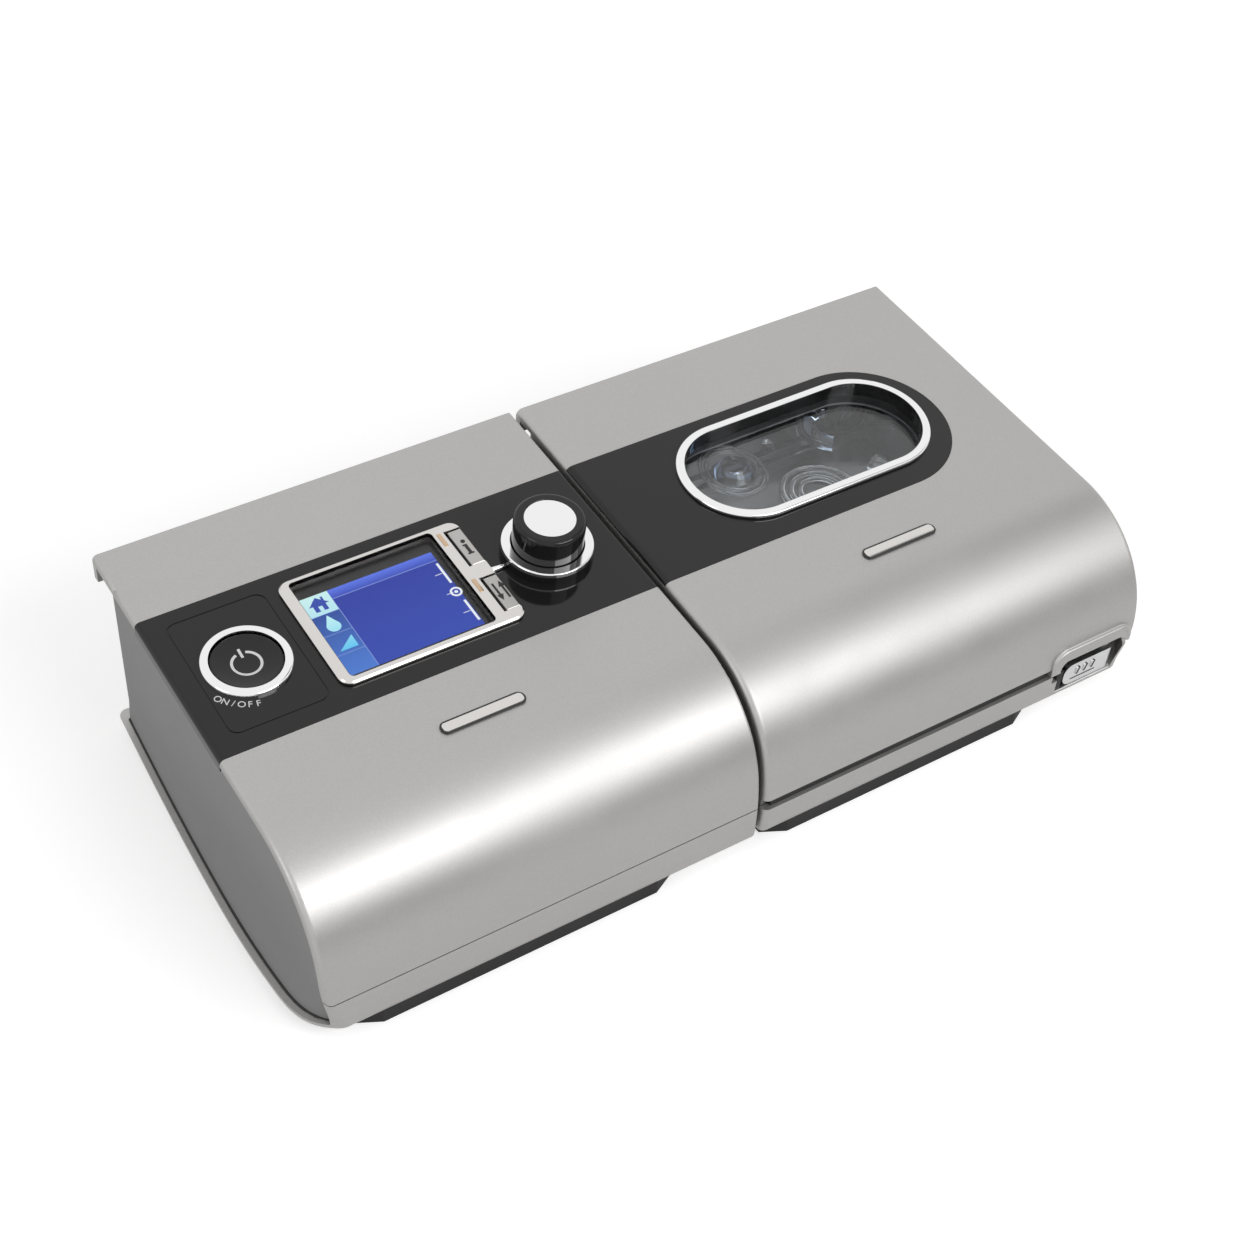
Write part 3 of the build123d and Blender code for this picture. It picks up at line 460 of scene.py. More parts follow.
def key_scoops():
    """Slanted strips on the frame, beside the upper end of each finger slot, coloured warm as a
    painted reflection.
    """
    top = in_top("screen_bezel")[1].z
    for node, name in (("info_key", "info_scoop"), ("setup_key", "setup_scoop")):
        low, high = in_top(node)
        x, v = low.x - 1.6, (low.y + high.y) / 2
        strip = block(x, x + 1.4, v + 2.5, v + 8.2, top - 0.1, top + 0.3)
        with editing(strip):
            pick("VERT", lambda place, _: place.x > x + 1 and place.z > top)
            bpy.ops.transform.translate(value=(0, 0, -0.25 * MM))
        soften(strip, lambda place, _: place.z > top, 0.1, 2)
        keep(strip, name, "painted_warm_reflection", "housing", TOP)


# ---- clear mouldings of the water tub ----
def bent_bar(centre, radius, thick, start, angle, z):
    """Round bar bent about an upright line, by spinning its end."""
    end = (centre[0] + radius * cos(start), centre[1] + radius * sin(start), z)
    piece = disc(end, thick, 20, (pi / 2, 0, start))
    with editing(piece, whole=True):
        middle = Vector((*centre, z)) * MM
        bpy.ops.mesh.spin(steps=28, angle=angle, center=middle, axis=(0, 0, 1))
    return piece


def tub_mouldings():
    """Ducts, rings, knob and inlet flap on the clear lid of the tub."""
    top = in_mm("tub_lid")[1].z
    duct = bent_bar(DUCT_AT, 20.0, 3.6, radians(15), radians(160), top + 0.6)
    keep(duct, "tub_duct", "clear_plastic", "housing")
    rings = [hoop((*RINGS_AT, top + 0.8), radius, 0.9) for radius in (6.5, 9.5, 12.5)]
    keep(join(*rings), "tub_rings", "clear_plastic", "housing")
    funnel = crown(rod((*INLET_AT, top + 1.8), 7.5, 3.6, corners=40, tip=4.5), 0.9, -1.8)
    keep(funnel, "tub_inlet_flap", "clear_blue", "housing", None)
    tilt = (radians(8), radians(6), 0)
    lips = [hoop((*INLET_AT, top + 0.6), radius, 0.7, tilt) for radius in (9.4, 11.6)]
    keep(join(*lips), "tub_inlet_lips", "clear_plastic", "housing")
    elbow = bent_bar(ELBOW_AT, 10.0, 3.2, radians(-130), radians(150), top + 0.4)
    keep(elbow, "tub_elbow", "clear_blue", "housing", None)
    knob = rod((*KNOB_AT, top + 1.0), 2.4, 2.4, corners=32)
    soften(knob, lambda place, _: place.z > top + 2, 0.5, 3)
    keep(crown(knob, 0.7, -0.4), "tub_knob", "clear_plastic", "housing")


# ---- latch ----
def latch_details():
    """Painted shadows on the slanted grips, painted shade in the groove, and the wire spring of the
    lid latch.
    """
    low, high = in_mm("latch_slider")
    face = low.y
    # painted shadow: dark slanted strips on the front of the grip ridges
    first = block(low.x + 5.2, low.x + 5.9, face - 0.1, face + 0.4, low.z + 3.9, low.z + 6.6)
    with editing(first):
        pick("VERT", lambda place, _: place.z > low.z + 5)
        bpy.ops.transform.translate(value=(0.9 * MM, 0, 0))
    soften(first, lambda place, _: place.y < face, 0.06, 2)
    grip_shadows = [first, *[copy_of(first, x=GRIP_PITCH * count) for count in (1, 2)]]
    keep(join(*grip_shadows), "latch_grips", "dark_print_and_shade", "latch", None)
    # painted shade: a dark strip at the bottom of the groove
    groove_shade = block(low.x + 3.5, low.x + 14.4, face + 0.3, face + 0.6, low.z + 1.9, low.z + 2.35)
    soften(groove_shade, lambda place, _: place.y < face + 0.35, 0.08, 2)
    keep(groove_shade, "latch_groove", "dark_print_and_shade", "latch", None)
    start = Vector((high.x - 3.6, face + 3.6, high.z + 1.0))
    end = Vector((high.x - 0.5, face + 2.0, low.z + 7.0))
    along = end - start
    spring = rod((start + end) / 2, 0.3, along.length, along.to_track_quat("Z", "Y").to_euler(), 16)
    ends = (start, end)
    soften(spring, lambda place, _: min((place - tip).length for tip in ends) < 0.35, 0.1, 2)
    keep(spring, "latch_spring", "steel", "latch")


def latch_rim():
    """Round bead on the lid that frames the latch: a leg, a bend, the top, a bend and a leg."""
    x0, x1, z0, z1, depth = LATCH_RIM
    x_left, x_right, z_bend = x0 + LATCH_BEND, x1 - LATCH_BEND, z1 - LATCH_BEND
    bead = disc((x0, depth, z0), LATCH_BEAD, 20)

    def bend_at(x):
        centre = Vector((x, depth, z_bend)) * MM
        bpy.ops.mesh.spin(steps=10, angle=-pi / 2, center=centre, axis=(0, 1, 0))

    with editing(bead, whole=True):
        draw_out((0, 0, (z_bend - z0) * MM))
        bend_at(x_left)
        draw_out(((x_right - x_left) * MM, 0, 0))
        bend_at(x_right)
        draw_out((0, 0, (z0 - z_bend) * MM))
    keep(bead, "latch_rim", "silver_paint", "lid")


def latch_pocket():
    """Pale sill under the lever, and a black block at its left end as painted shade of the pocket.
    """
    low, _ = in_mm("latch_slider")
    sill = block(low.x - 3.1, low.x + 22, low.y - 0.05, low.y + 2.2, low.z - 1.1, low.z - 0.25)
    soften(sill, lambda place, along: abs(along.x) > 0.9 and place.y < low.y, 0.25, 3)
    keep(sill, "latch_sill", "latch_silver", "housing", None)
    # painted shade: a black block where the pocket is only in shade
    painted_shade = block(low.x - 3.1, low.x - 0.4, low.y + 0.5, low.y + 1.2, low.z - 0.5, low.z + 7.5)
    soften(painted_shade, lambda place, _: place.y < low.y + 0.6, 0.15, 2)
    keep(painted_shade, "latch_lining", "black_matte", "housing")


# ---- sides, back and underside ----
def seal_and_gap_shade(node, name):
    """Black strand between a recessed side wall and the rim of its tray: partly a seal's own
    colour, partly painted shade of the gap.
    """
    place = NODES[node].matrix_world
    points = [place @ vert.co / MM for vert in NODES[node].data.vertices]
    side = -1 if points[0].x < 0 else 1
    floor = min(point.z for point in points)
    edge = {}
    for point in points:
        row = round(point.y / SEAM_STEP)
        if point.z < floor + 0.3 and (row not in edge or side * point.x > side * edge[row].x):
            edge[row] = point
    line = [edge[row] for row in sorted(edge)]
    strand = disc(line[0], SEAM_WIRE, 12, (pi / 2, 0, 0))
    with editing(strand, whole=True):
        for last, point in zip(line, line[1:]):
            draw_out((point - last) * MM)
    keep(strand, name, "rubber", "housing")


def port_ribs():
    """Two thin ribs that grip the hose cuff."""
    low, high = in_mm("air_outlet")
    radius = (high.z - low.z) / 2 - 2
    place = ((low.x + high.x) / 2, high.y - 4.0, (low.z + high.z) / 2)
    first = hoop(place, radius, 0.2, (pi / 2, 0, 0))
    second = copy_of(first, y=-RIB_PITCH)
    keep(join(first, second), "port_ribs", "black_matte", "housing")


def screw_recesses():
    """Flat black cross on every screw head under the trays, as painted shade of its cross recess.
    """
    mesh = NODES["case_screws"].data
    floor = min(vert.co.z for vert in mesh.vertices)
    rims = {}
    for vert in mesh.vertices:
        if vert.co.z < floor + 0.05 * MM:
            spot = vert.co / MM
            cell = (round(spot.x / SCREW_CELL), round(spot.y / SCREW_CELL))
            rims.setdefault(cell, []).append(spot)
    along = plate(-1.7, 1.7, -0.35, 0.35, -0.06, 0.06, 0.08)
    across = plate(-0.35, 0.35, -1.7, 1.7, -0.05, 0.05, 0.08)
    first = join(along, across)
    crosses = [copy_of(first, *(sum(rim, Vector()) / len(rim))) for rim in rims.values()]
    bpy.data.objects.remove(first)
    keep(join(*crosses), "screw_recesses", "black_matte", "housing")


def rating_plate():
    """Blank plate under the flow generator."""
    under = in_mm("fg_base_tray")[0].z
    piece = block(*RATING_PLATE, under - 0.25, under + 0.1)
    soften(piece, lambda _, along: abs(along.z) > 0.9, 3.0, 5)
    with editing(piece):
        pick("FACE", lambda _, facing: facing.z < -0.9)
        bpy.ops.mesh.inset(thickness=1.0 * MM)
        bpy.ops.transform.translate(value=(0, 0, 0.1 * MM))
    keep(piece, "rating_plate", "satin_trim", "housing")


def socket_pins():
    """Three contact pins in the power socket."""
    low, high = in_mm("power_socket")
    x, z = (low.x + high.x) / 2, (low.z + high.z) / 2
    first = rod((x, high.y - 7.0, z), 0.9, 8.0, (pi / 2, 0, 0))
    soften(first, lambda place, _: place.y > high.y - 3.1, 0.4, 3)
    pins = [first, copy_of(first, x=-PIN_PITCH), copy_of(first, x=PIN_PITCH)]
    keep(join(*pins), "socket_pins", "steel", "housing")


def filter_grip():
    """Finger ridge on the filter cover."""
    low, high = in_mm("filter_cover")
    x = (low.x + high.x) / 2
    ridge = block(x - 7, x + 7, high.y - 0.4, high.y + 1.6, high.z - 3.4, high.z - 1.6)
    soften(ridge, lambda place, _: place.y > high.y + 1 or abs(place.x - x) > 6.9, 0.5, 3)
    keep(ridge, "filter_cover_grip", "grey_panel", "filter_cover")


def card_grip():
    """Ridges on the outer end of the memory card."""
    low, high = in_mm("memory_card")
    first = block(low.x + 4, high.x - 4, high.y - 1.2, high.y - 0.8, high.z - 0.05, high.z + 0.15)
    soften(first, lambda place, _: place.z > high.z + 0.1, 0.08, 2)
    ridges = [first, copy_of(first, y=-1.0)]
    keep(join(*ridges), "card_grip", "black_matte", "memory_card")


def hinge_caps():
    """Domed ends of the two hinge pins."""
    low, high = in_mm("hinge_pins")
    y, z = (low.y + high.y) / 2, (low.z + high.z) / 2
    for name, x, side in (("hinge_cap_left", low.x, -1), ("hinge_cap_right", high.x, 1)):
        cap = rod((x + side * 0.15, y, z), 1.9, 0.3, (0, side * pi / 2, 0), 32, 1.5)
        soften(cap, lambda place, _: abs(place.x - x) > 0.25, 0.1, 2)
        keep(cap, name, "steel", "housing")


# ---- shader node groups: effects that several finishes share ----
def new_group(name, inputs, outputs):
    """Node group, its link function and its ends, from {input: default} and {output: kind}."""
    group = bpy.data.node_groups.new(name, "ShaderNodeTree")
    for label, value in inputs.items():
        kind = "NodeSocketFloat" if isinstance(value, (int, float)) else "NodeSocketColor"
        group.interface.new_socket(label, in_out="INPUT", socket_type=kind).default_value = value
    for label, kind in outputs.items():
        group.interface.new_socket(label, in_out="OUTPUT", socket_type="NodeSocket" + kind)
    given, out = group.nodes.new("NodeGroupInput"), group.nodes.new("NodeGroupOutput")
    return group, group.links.new, given, out


def math_node(tree, operation, a, b=None, clamp=False):
    """Math node on two sockets or numbers; gives its output."""
    node = tree.nodes.new("ShaderNodeMath")
    node.operation, node.use_clamp = operation, clamp
    for socket, value in zip(node.inputs, (a, b)):
        if isinstance(value, (int, float)):
            socket.default_value = value
        elif value is not None:
            tree.links.new(value, socket)
    return node.outputs[0]


def object_place(tree):
    """Object coordinates as a socket."""
    return tree.nodes.new("ShaderNodeTexCoord").outputs["Object"]


def texture(group, given, kind):
    """Texture node on object coordinates, at the scale that the group is given."""
    node = group.nodes.new("ShaderNodeTex" + kind)
    group.links.new(object_place(group), node.inputs["Vector"])
    group.links.new(given.outputs["Per metre"], node.inputs["Scale"])
    return node


def grain_group():
    """Moulded grain: fine bumps of one size, as on spark-eroded plastic."""
    group, link, given, out = new_group(
        "Moulded grain", {"Per metre": 2500.0, "Detail": 2.0}, {"Height": "Float"}
    )
    noise = texture(group, given, "Noise")
    link(given.outputs["Detail"], noise.inputs["Detail"])
    link(noise.outputs["Fac"], out.inputs["Height"])


def flake_group():
    """Metal flake: small cells of a colour, each a little lighter or darker."""
    group, link, given, out = new_group(
        "Metal flake",
        {"Colour": (0.5, 0.5, 0.5, 1), "Per metre": 3000.0, "Spread": 0.1},
        {"Colour": "Color", "Height": "Float"},
    )
    cells = texture(group, given, "Voronoi")
    parts = group.nodes.new("ShaderNodeSeparateColor")
    link(cells.outputs["Color"], parts.inputs[0])
    offset = math_node(group, "SUBTRACT", parts.outputs[0], 0.5)
    spread = math_node(group, "MULTIPLY", offset, given.outputs["Spread"])
    gain = math_node(group, "ADD", spread, 1.0)
    tint = group.nodes.new("ShaderNodeVectorMath")
    tint.operation = "SCALE"
    link(given.outputs["Colour"], tint.inputs[0])
    link(gain, tint.inputs["Scale"])
    link(tint.outputs[0], out.inputs["Colour"])
    link(parts.outputs[1], out.inputs["Height"])


def handling_group():
    """Handling marks: soft wide smudges between a low and a high roughness."""
    group, link, given, out = new_group(
        "Handling marks", {"Per metre": 28.0, "Low": 0.2, "High": 0.3}, {"Roughness": "Float"}
    )
    noise = texture(group, given, "Noise")
    noise.inputs["Detail"].default_value = 3.0
    noise.inputs["Distortion"].default_value = 0.6
    ramp = group.nodes.new("ShaderNodeMapRange")
    ramp.inputs["From Min"].default_value = 0.35
    ramp.inputs["From Max"].default_value = 0.7
    link(noise.outputs["Fac"], ramp.inputs["Value"])
    link(given.outputs["Low"], ramp.inputs["To Min"])
    link(given.outputs["High"], ramp.inputs["To Max"])
    link(ramp.outputs[0], out.inputs["Roughness"])


def wear_group():
    """Worn edge: a mask that rises where a rounded edge would be rubbed."""
    sizes = {"Radius": 0.0006, "Amount": 1.0}
    group, link, given, out = new_group("Worn edge", sizes, {"Mask": "Float"})
    bevel = group.nodes.new("ShaderNodeBevel")
    bevel.samples = 4
    link(given.outputs["Radius"], bevel.inputs["Radius"])
    surface = group.nodes.new("ShaderNodeNewGeometry")
    dot = group.nodes.new("ShaderNodeVectorMath")
    dot.operation = "DOT_PRODUCT"
    link(bevel.outputs[0], dot.inputs[0])
    link(surface.outputs["Normal"], dot.inputs[1])
    turned = math_node(group, "SUBTRACT", 1.0, dot.outputs["Value"])
    gain = math_node(group, "MULTIPLY", given.outputs["Amount"], 6.0)
    mask = math_node(group, "MULTIPLY", turned, gain, True)
    link(mask, out.inputs["Mask"])


def dust_group():
    """Settled dust: a mask on faces that look up, broken up by noise."""
    group, link, given, out = new_group(
        "Settled dust", {"Per metre": 90.0, "Amount": 0.1}, {"Mask": "Float"}
    )
    surface = group.nodes.new("ShaderNodeNewGeometry")
    parts = group.nodes.new("ShaderNodeSeparateXYZ")
    link(surface.outputs["Normal"], parts.inputs[0])
    noise = texture(group, given, "Noise")
    noise.inputs["Detail"].default_value = 6.0
    up = math_node(group, "MULTIPLY", parts.outputs["Z"], noise.outputs["Fac"], True)
    mask = math_node(group, "MULTIPLY", up, given.outputs["Amount"], True)
    link(mask, out.inputs["Mask"])


def opening_group():
    """Inside an opening: a mask that is 1 within a rounded outline on the sloping top, where
    painted shade goes.
    """
    sizes = {"Middle X": 0.0, "Middle Y": 0.0, "Half X": 0.01, "Half Y": 0.01, "Radius": 0.001}
    group, link, given, out = new_group("Inside an opening", sizes, {"Mask": "Float"})
    level = group.nodes.new("ShaderNodeVectorRotate")
    level.rotation_type = "X_AXIS"
    level.inputs["Center"].default_value = (0, BAND_MID_Y, BAND_MID_Z)
    level.inputs["Angle"].default_value = -SLOPE
    link(object_place(group), level.inputs["Vector"])
    parts = group.nodes.new("ShaderNodeSeparateXYZ")
    link(level.outputs[0], parts.inputs[0])
    squares = []
    for axis in "XY":
        away = math_node(group, "SUBTRACT", parts.outputs[axis], given.outputs["Middle " + axis])
        away = math_node(group, "ABSOLUTE", away)
        past = math_node(group, "SUBTRACT", away, given.outputs["Half " + axis])
        past = math_node(group, "MAXIMUM", past, 0.0)
        squares.append(math_node(group, "MULTIPLY", past, past))
    reach = math_node(group, "SQRT", math_node(group, "ADD", *squares))
    inside = math_node(group, "LESS_THAN", reach, given.outputs["Radius"])
    link(inside, out.inputs["Mask"])


# ---- finishes ----
FINISHES = {}


def finish(name, **plain):
    """New material with these values set on its Principled shader."""
    material = bpy.data.materials.new(name)
    material.use_nodes = True
    shader = material.node_tree.nodes["Principled BSDF"]
    for socket, value in plain.items():
        shader.inputs[socket.replace("_", " ")].default_value = value
    FINISHES[name] = material
    return material, shader


def effect(material, group, **values):
    """A shared effect placed in the material, with its own values."""
    node = material.node_tree.nodes.new("ShaderNodeGroup")
    node.node_tree = bpy.data.node_groups[group]
    for socket, value in values.items():
        node.inputs[socket.replace("_", " ")].default_value = value
    return node


def wire(material, start, end):
    """Links two sockets."""
    material.node_tree.links.new(start, end)


def bump(material, shader, height, strength, depth):
    """Bumps a shader's normal by a height."""
    node = material.node_tree.nodes.new("ShaderNodeBump")
    node.inputs["Strength"].default_value = strength
    node.inputs["Distance"].default_value = depth
    wire(material, height, node.inputs["Height"])
    wire(material, node.outputs[0], shader.inputs["Normal"])


def blend_colour(material, mask, low, high, end):
    """Mixes two colours or sockets by a mask into a colour socket; gives the result."""
    node = material.node_tree.nodes.new("ShaderNodeMix")
    node.data_type = "RGBA"
    wire(material, mask, node.inputs["Factor"])
    for label, value in (("A", low), ("B", high)):
        socket = [s for s in node.inputs if s.name == label and s.type == "RGBA"][0]
        if isinstance(value, tuple):
            socket.default_value = value
        else:
            wire(material, value, socket)
    mixed = [s for s in node.outputs if s.type == "RGBA"][0]
    wire(material, mixed, end)
    return mixed


def grey(value, warmth=0.0):
    """Linear grey, a little warm or cold."""
    return value * (1 + warmth), value, value * (1 - warmth), 1


def smears(material, shader, per_metre, low, high):
    """Handling marks on a finish's roughness."""
    marks = effect(material, "Handling marks", Per_metre=per_metre, Low=low, High=high)
    wire(material, marks.outputs["Roughness"], shader.inputs["Roughness"])


def painted_metal(name, colour, low, high, metallic, flake):
    """Metallic paint under a satin coat."""
    material, shader = finish(name, Metallic=metallic)
    flakes = effect(material, "Metal flake", Colour=colour, Per_metre=3600.0, Spread=flake)
    wire(material, flakes.outputs["Colour"], shader.inputs["Base Color"])
    smears(material, shader, 22.0, low, high)
    bump(material, shader, flakes.outputs["Height"], 0.05, 0.00003)


def plastic(name, colour, low, high, grain, worn=None, dust=None):
    """Moulded plastic: a fine grain, handling marks and, where worn, paler edges and dust."""
    material, shader = finish(name, Base_Color=colour)
    smears(material, shader, 30.0, low, high)
    skin = effect(material, "Moulded grain", Per_metre=2600.0)
    bump(material, shader, skin.outputs["Height"], grain, 0.0001)
    if worn:
        base = shader.inputs["Base Color"]
        edge = effect(material, "Worn edge", Radius=0.0005, Amount=1.0)
        rubbed = blend_colour(material, edge.outputs["Mask"], colour, worn, base)
        veil = effect(material, "Settled dust", Per_metre=90.0, Amount=dust)
        blend_colour(material, veil.outputs["Mask"], rubbed, grey(0.4), base)
    return shader


def bright_metal(name, colour, low, high):
    """Bright plated or turned metal with faint smears."""
    material, shader = finish(name, Base_Color=colour, Metallic=1.0)
    smears(material, shader, 60.0, low, high)
    return material, shader


def metal_with_painted_shade(name, colour, low, high, painted_shade, opening):
    """Plated frame, darkened inside its opening as painted shade and dark reflection on its inner
    walls.
    """
    material, shader = bright_metal(name, colour, low, high)
    labels = ("Middle_X", "Middle_Y", "Half_X", "Half_Y", "Radius")
    sizes = {label: size * MM for label, size in zip(labels, opening)}
    mask = effect(material, "Inside an opening", **sizes)
    # painted shade: dark colour inside the opening
    blend_colour(material, mask.outputs["Mask"], colour, painted_shade, shader.inputs["Base Color"])


def clear_moulding(name, colour, roughness):
    """Clear plastic that lets the lamps through."""
    material, shader = finish(
        name, Base_Color=colour, Roughness=roughness, IOR=1.46, Transmission_Weight=1.0
    )
    tree = material.node_tree
    swirl = effect(material, "Moulded grain", Per_metre=180.0, Detail=1.0)
    bump(material, shader, swirl.outputs["Height"], 0.08, 0.0006)
    open_air = tree.nodes.new("ShaderNodeBsdfTransparent")
    path = tree.nodes.new("ShaderNodeLightPath")
    mix = tree.nodes.new("ShaderNodeMixShader")
    tree.links.new(path.outputs["Is Shadow Ray"], mix.inputs[0])
    tree.links.new(shader.outputs[0], mix.inputs[1])
    tree.links.new(open_air.outputs[0], mix.inputs[2])
    tree.links.new(mix.outputs[0], tree.nodes["Material Output"].inputs["Surface"])


def lit_finish(name, low, high, span=(-18.0, 18.0)):
    """Display colour that changes up the slope, shining by itself."""
    material, shader = finish(name, Base_Color=grey(0.005), Roughness=0.4, Specular_IOR_Level=0.0)
    tree = material.node_tree
    parts = tree.nodes.new("ShaderNodeSeparateXYZ")
    wire(material, object_place(tree), parts.inputs[0])
    climb = tree.nodes.new("ShaderNodeMapRange")
    for label, v in (("From Min", span[0]), ("From Max", span[1])):
        climb.inputs[label].default_value = BAND_MID_Y + v * cos(SLOPE) * MM
    wire(material, parts.outputs["Y"], climb.inputs["Value"])
    blend_colour(material, climb.outputs[0], low, high, shader.inputs["Emission Color"])
    shader.inputs["Emission Strength"].default_value = 1.0


def make_finishes(paint, side, gloss):
    """Every finish of the machine, from the colours that the panel offers."""
    for build in (grain_group, flake_group, handling_group, wear_group, dust_group, opening_group):
        build()
    painted_metal("silver_paint", (*paint, 1), 0.41, 0.47, 0.82, 0.08)
    painted_metal("grey_panel", (*side, 1), 0.5, 0.56, 0.2, 0.05)
    fascia = plastic("black_gloss", (*gloss, 1), 0.05, 0.1, 0.01)
    fascia.inputs["IOR"].default_value = 1.4
    plastic("black_matte", grey(0.008), 0.55, 0.65, 0.3, grey(0.03), 0.05)
    bright_metal("chrome", grey(0.86), 0.03, 0.09)
    bright_metal("satin_trim", grey(0.66, 0.03), 0.16, 0.26)
    # painted shade: the display frame and the window ring are darkened inside their openings
    metal_with_painted_shade("bezel_trim", grey(0.66, 0.03), 0.16, 0.26, grey(0.01), SCREEN_OPENING)
    metal_with_painted_shade("window_chrome", grey(0.86), 0.03, 0.09, grey(0.05), WINDOW_OPENING)
    bright_metal("latch_silver", grey(0.74), 0.26, 0.34)
    # painted reflection: the warm colour of the key scoops
    bright_metal("painted_warm_reflection", (0.62, 0.45, 0.3, 1), 0.25, 0.35)
    bright_metal("key_silver", grey(0.46, 0.03), 0.3, 0.38)
    glass = finish("screen_glass", Base_Color=grey(0.9), IOR=1.22, Transmission_Weight=1.0)
    smears(*glass, 35.0, 0.01, 0.035)
    plastic("screen_border", grey(0.008), 0.3, 0.4, 0.05)
    lit_finish("lit_field", (0.035, 0.075, 0.47, 1), (0.03, 0.05, 0.38, 1))
    lit_finish("lit_header", (0.05, 0.09, 0.55, 1), (0.12, 0.2, 0.85, 1), (13.0, 16.4))
    lit_finish("lit_home", (0.5, 0.85, 0.95, 1), (0.65, 0.95, 0.95, 1), (8.0, 16.4))
    lit_finish("lit_tile", (0.08, 0.22, 0.7, 1), (0.015, 0.035, 0.25, 1))
    lit_finish("lit_house", (0.03, 0.06, 0.4, 1), (0.04, 0.08, 0.45, 1))
    lit_finish("lit_drop", (0.1, 0.6, 0.95, 1), (0.55, 0.95, 1.0, 1), (-8.0, 6.0))
    lit_finish("lit_rule", (0.25, 0.35, 0.75, 1), (0.3, 0.4, 0.8, 1))
    lit_finish("lit_mark", (0.85, 0.9, 1.0, 1), (0.9, 0.95, 1.0, 1))
    clear_moulding("clear_plastic", (0.96, 0.98, 1.0, 1), 0.04)
    clear_moulding("clear_blue", (0.72, 0.84, 1.0, 1), 0.05)
    plastic("rubber", grey(0.014), 0.7, 0.8, 0.4, grey(0.03), 0.08)
    plastic("seal_rubber", grey(0.16, -0.03), 0.5, 0.6, 0.2)
    plastic("foam", grey(0.05), 0.9, 0.95, 0.9)
    plastic("filter_media", grey(0.7), 0.85, 0.95, 0.9)
    plastic("board_green", (0.01, 0.09, 0.035, 1), 0.35, 0.5, 0.1)
    plastic("white_plastic", grey(0.65, 0.02), 0.35, 0.45, 0.15)
    plastic("print_white", grey(0.8), 0.4, 0.5, 0.05)
    # dark print on the keys, and painted shade and shadows on the latch
    plastic("dark_print_and_shade", grey(0.01), 0.4, 0.5, 0.05)
    plastic("badge_edge", grey(0.015), 0.2, 0.3, 0.05)
    bright_metal("steel", grey(0.55, 0.01), 0.22, 0.34)
    bright_metal("aluminium", grey(0.6), 0.3, 0.42)


SPECIAL = {
    "lcd_module": "screen_border", "fg_badge": "badge_edge", "lid_badge": "badge_edge",
    "screen_bezel": "bezel_trim", "window_ring": "window_chrome", "latch_slider": "latch_silver",
}


def dress():
    """Gives every CAD node its finish."""
    for part in frame["record"]["subparts"]:
        finish_name = SPECIAL.get(part["node"], part["material_slot"])
        for slot in NODES[part["node"]].material_slots:
            slot.material = FINISHES[finish_name]


# ---- stage: lamps and boards in metres, the camera in millimetres ----
AIM = Vector((0, 0, 0.03))
KEY_LAMP = ((0.35, -0.98, 0.88), (0.9, 0.55))  # place, size
LEFT_LAMP = ((-1.3, -0.2, 0.7), (0.6, 0.6))
LEFT_SHARE = 0.25  # of the key lamp's power
FRONT_FLAG = ((0.6, -1.33, 0.22), (2.4, 0.5), 0.04)  # place, size, grey
RIGHT_FLAG = ((1.04, 0.0, 1.19), (0.55, 0.7), 0.05, 0.25)  # and its glow
FLOOR_GLOW = (0.5, 0.2)  # to the camera, to everything else
EYE = (-285.71, -379.47, 473.96)
YAW, PITCH, ROLL = radians(33.797), radians(42.791), radians(2.831)
LENS = 58.52
SHIFT = (0.0508, -0.0047)


def aimed(place, axis):
    """Rotation that points an axis from a place to the machine."""
    return (AIM - Vector(place)).to_track_quat(axis, "Y").to_euler()


def softbox(name, place, size, power):
    """Flat lamp that looks at the machine."""
    bpy.ops.object.light_add(type="AREA", location=place, rotation=aimed(place, "-Z"))
    lamp = bpy.context.object
    lamp.name = name
    lamp.data.shape = "RECTANGLE"
    lamp.data.size, lamp.data.size_y = size
    lamp.data.energy = power


def seen_rays(tree):
    """1 on what the camera, a reflection or clear plastic shows, 0 on what lights the machine."""
    path = tree.nodes.new("ShaderNodeLightPath")
    both = math_node(tree, "ADD", path.outputs["Is Camera Ray"], path.outputs["Is Glossy Ray"])
    return math_node(tree, "ADD", both, path.outputs["Is Transmission Ray"], True)


def card(name, place, size, colour, glow=0.0):
    """Board beside the set that only reflections see, facing the machine."""
    bpy.ops.mesh.primitive_plane_add(size=1, location=place, rotation=aimed(place, "Z"))
    bpy.context.object.scale = (*size, 1)
    board = settle()
    board.name = name
    material, shader = finish(name, Base_Color=grey(colour), Roughness=0.9)
    shader.inputs["Emission Color"].default_value = grey(1.0)
    shader.inputs["Emission Strength"].default_value = glow
    board.data.materials.append(material)
    board.visible_camera = False


COLOUR = {"subtype": "COLOR", "size": 3, "min": 0, "max": 1}


class BreatherFinishSettings(bpy.types.PropertyGroup):
    paint: FloatVectorProperty(
        name="Paint", description="Colour of the silver paint",
        default=(0.476, 0.47, 0.461), **COLOUR,
    )
    side: FloatVectorProperty(
        name="Side walls", description="Colour of the recessed side walls",
        default=(0.24, 0.24, 0.24), **COLOUR,
    )
    gloss: FloatVectorProperty(
        name="Fascia", description="Colour of the glossy control band",
        default=(0.012, 0.012, 0.012), **COLOUR,
    )


class BreatherStageSettings(bpy.types.PropertyGroup):
    floor_size: FloatProperty(
        name="Floor", description="Width of the square floor", unit="LENGTH", default=8.0, min=1.0
    )
    ambient: FloatProperty(
        name="Ambient light", description="Level of light from all round", default=0.5, min=0, max=1
    )
    key_power: FloatProperty(
        name="Key lamp", description="Power of the large front lamp in watts", default=6.9, min=0.0
    )


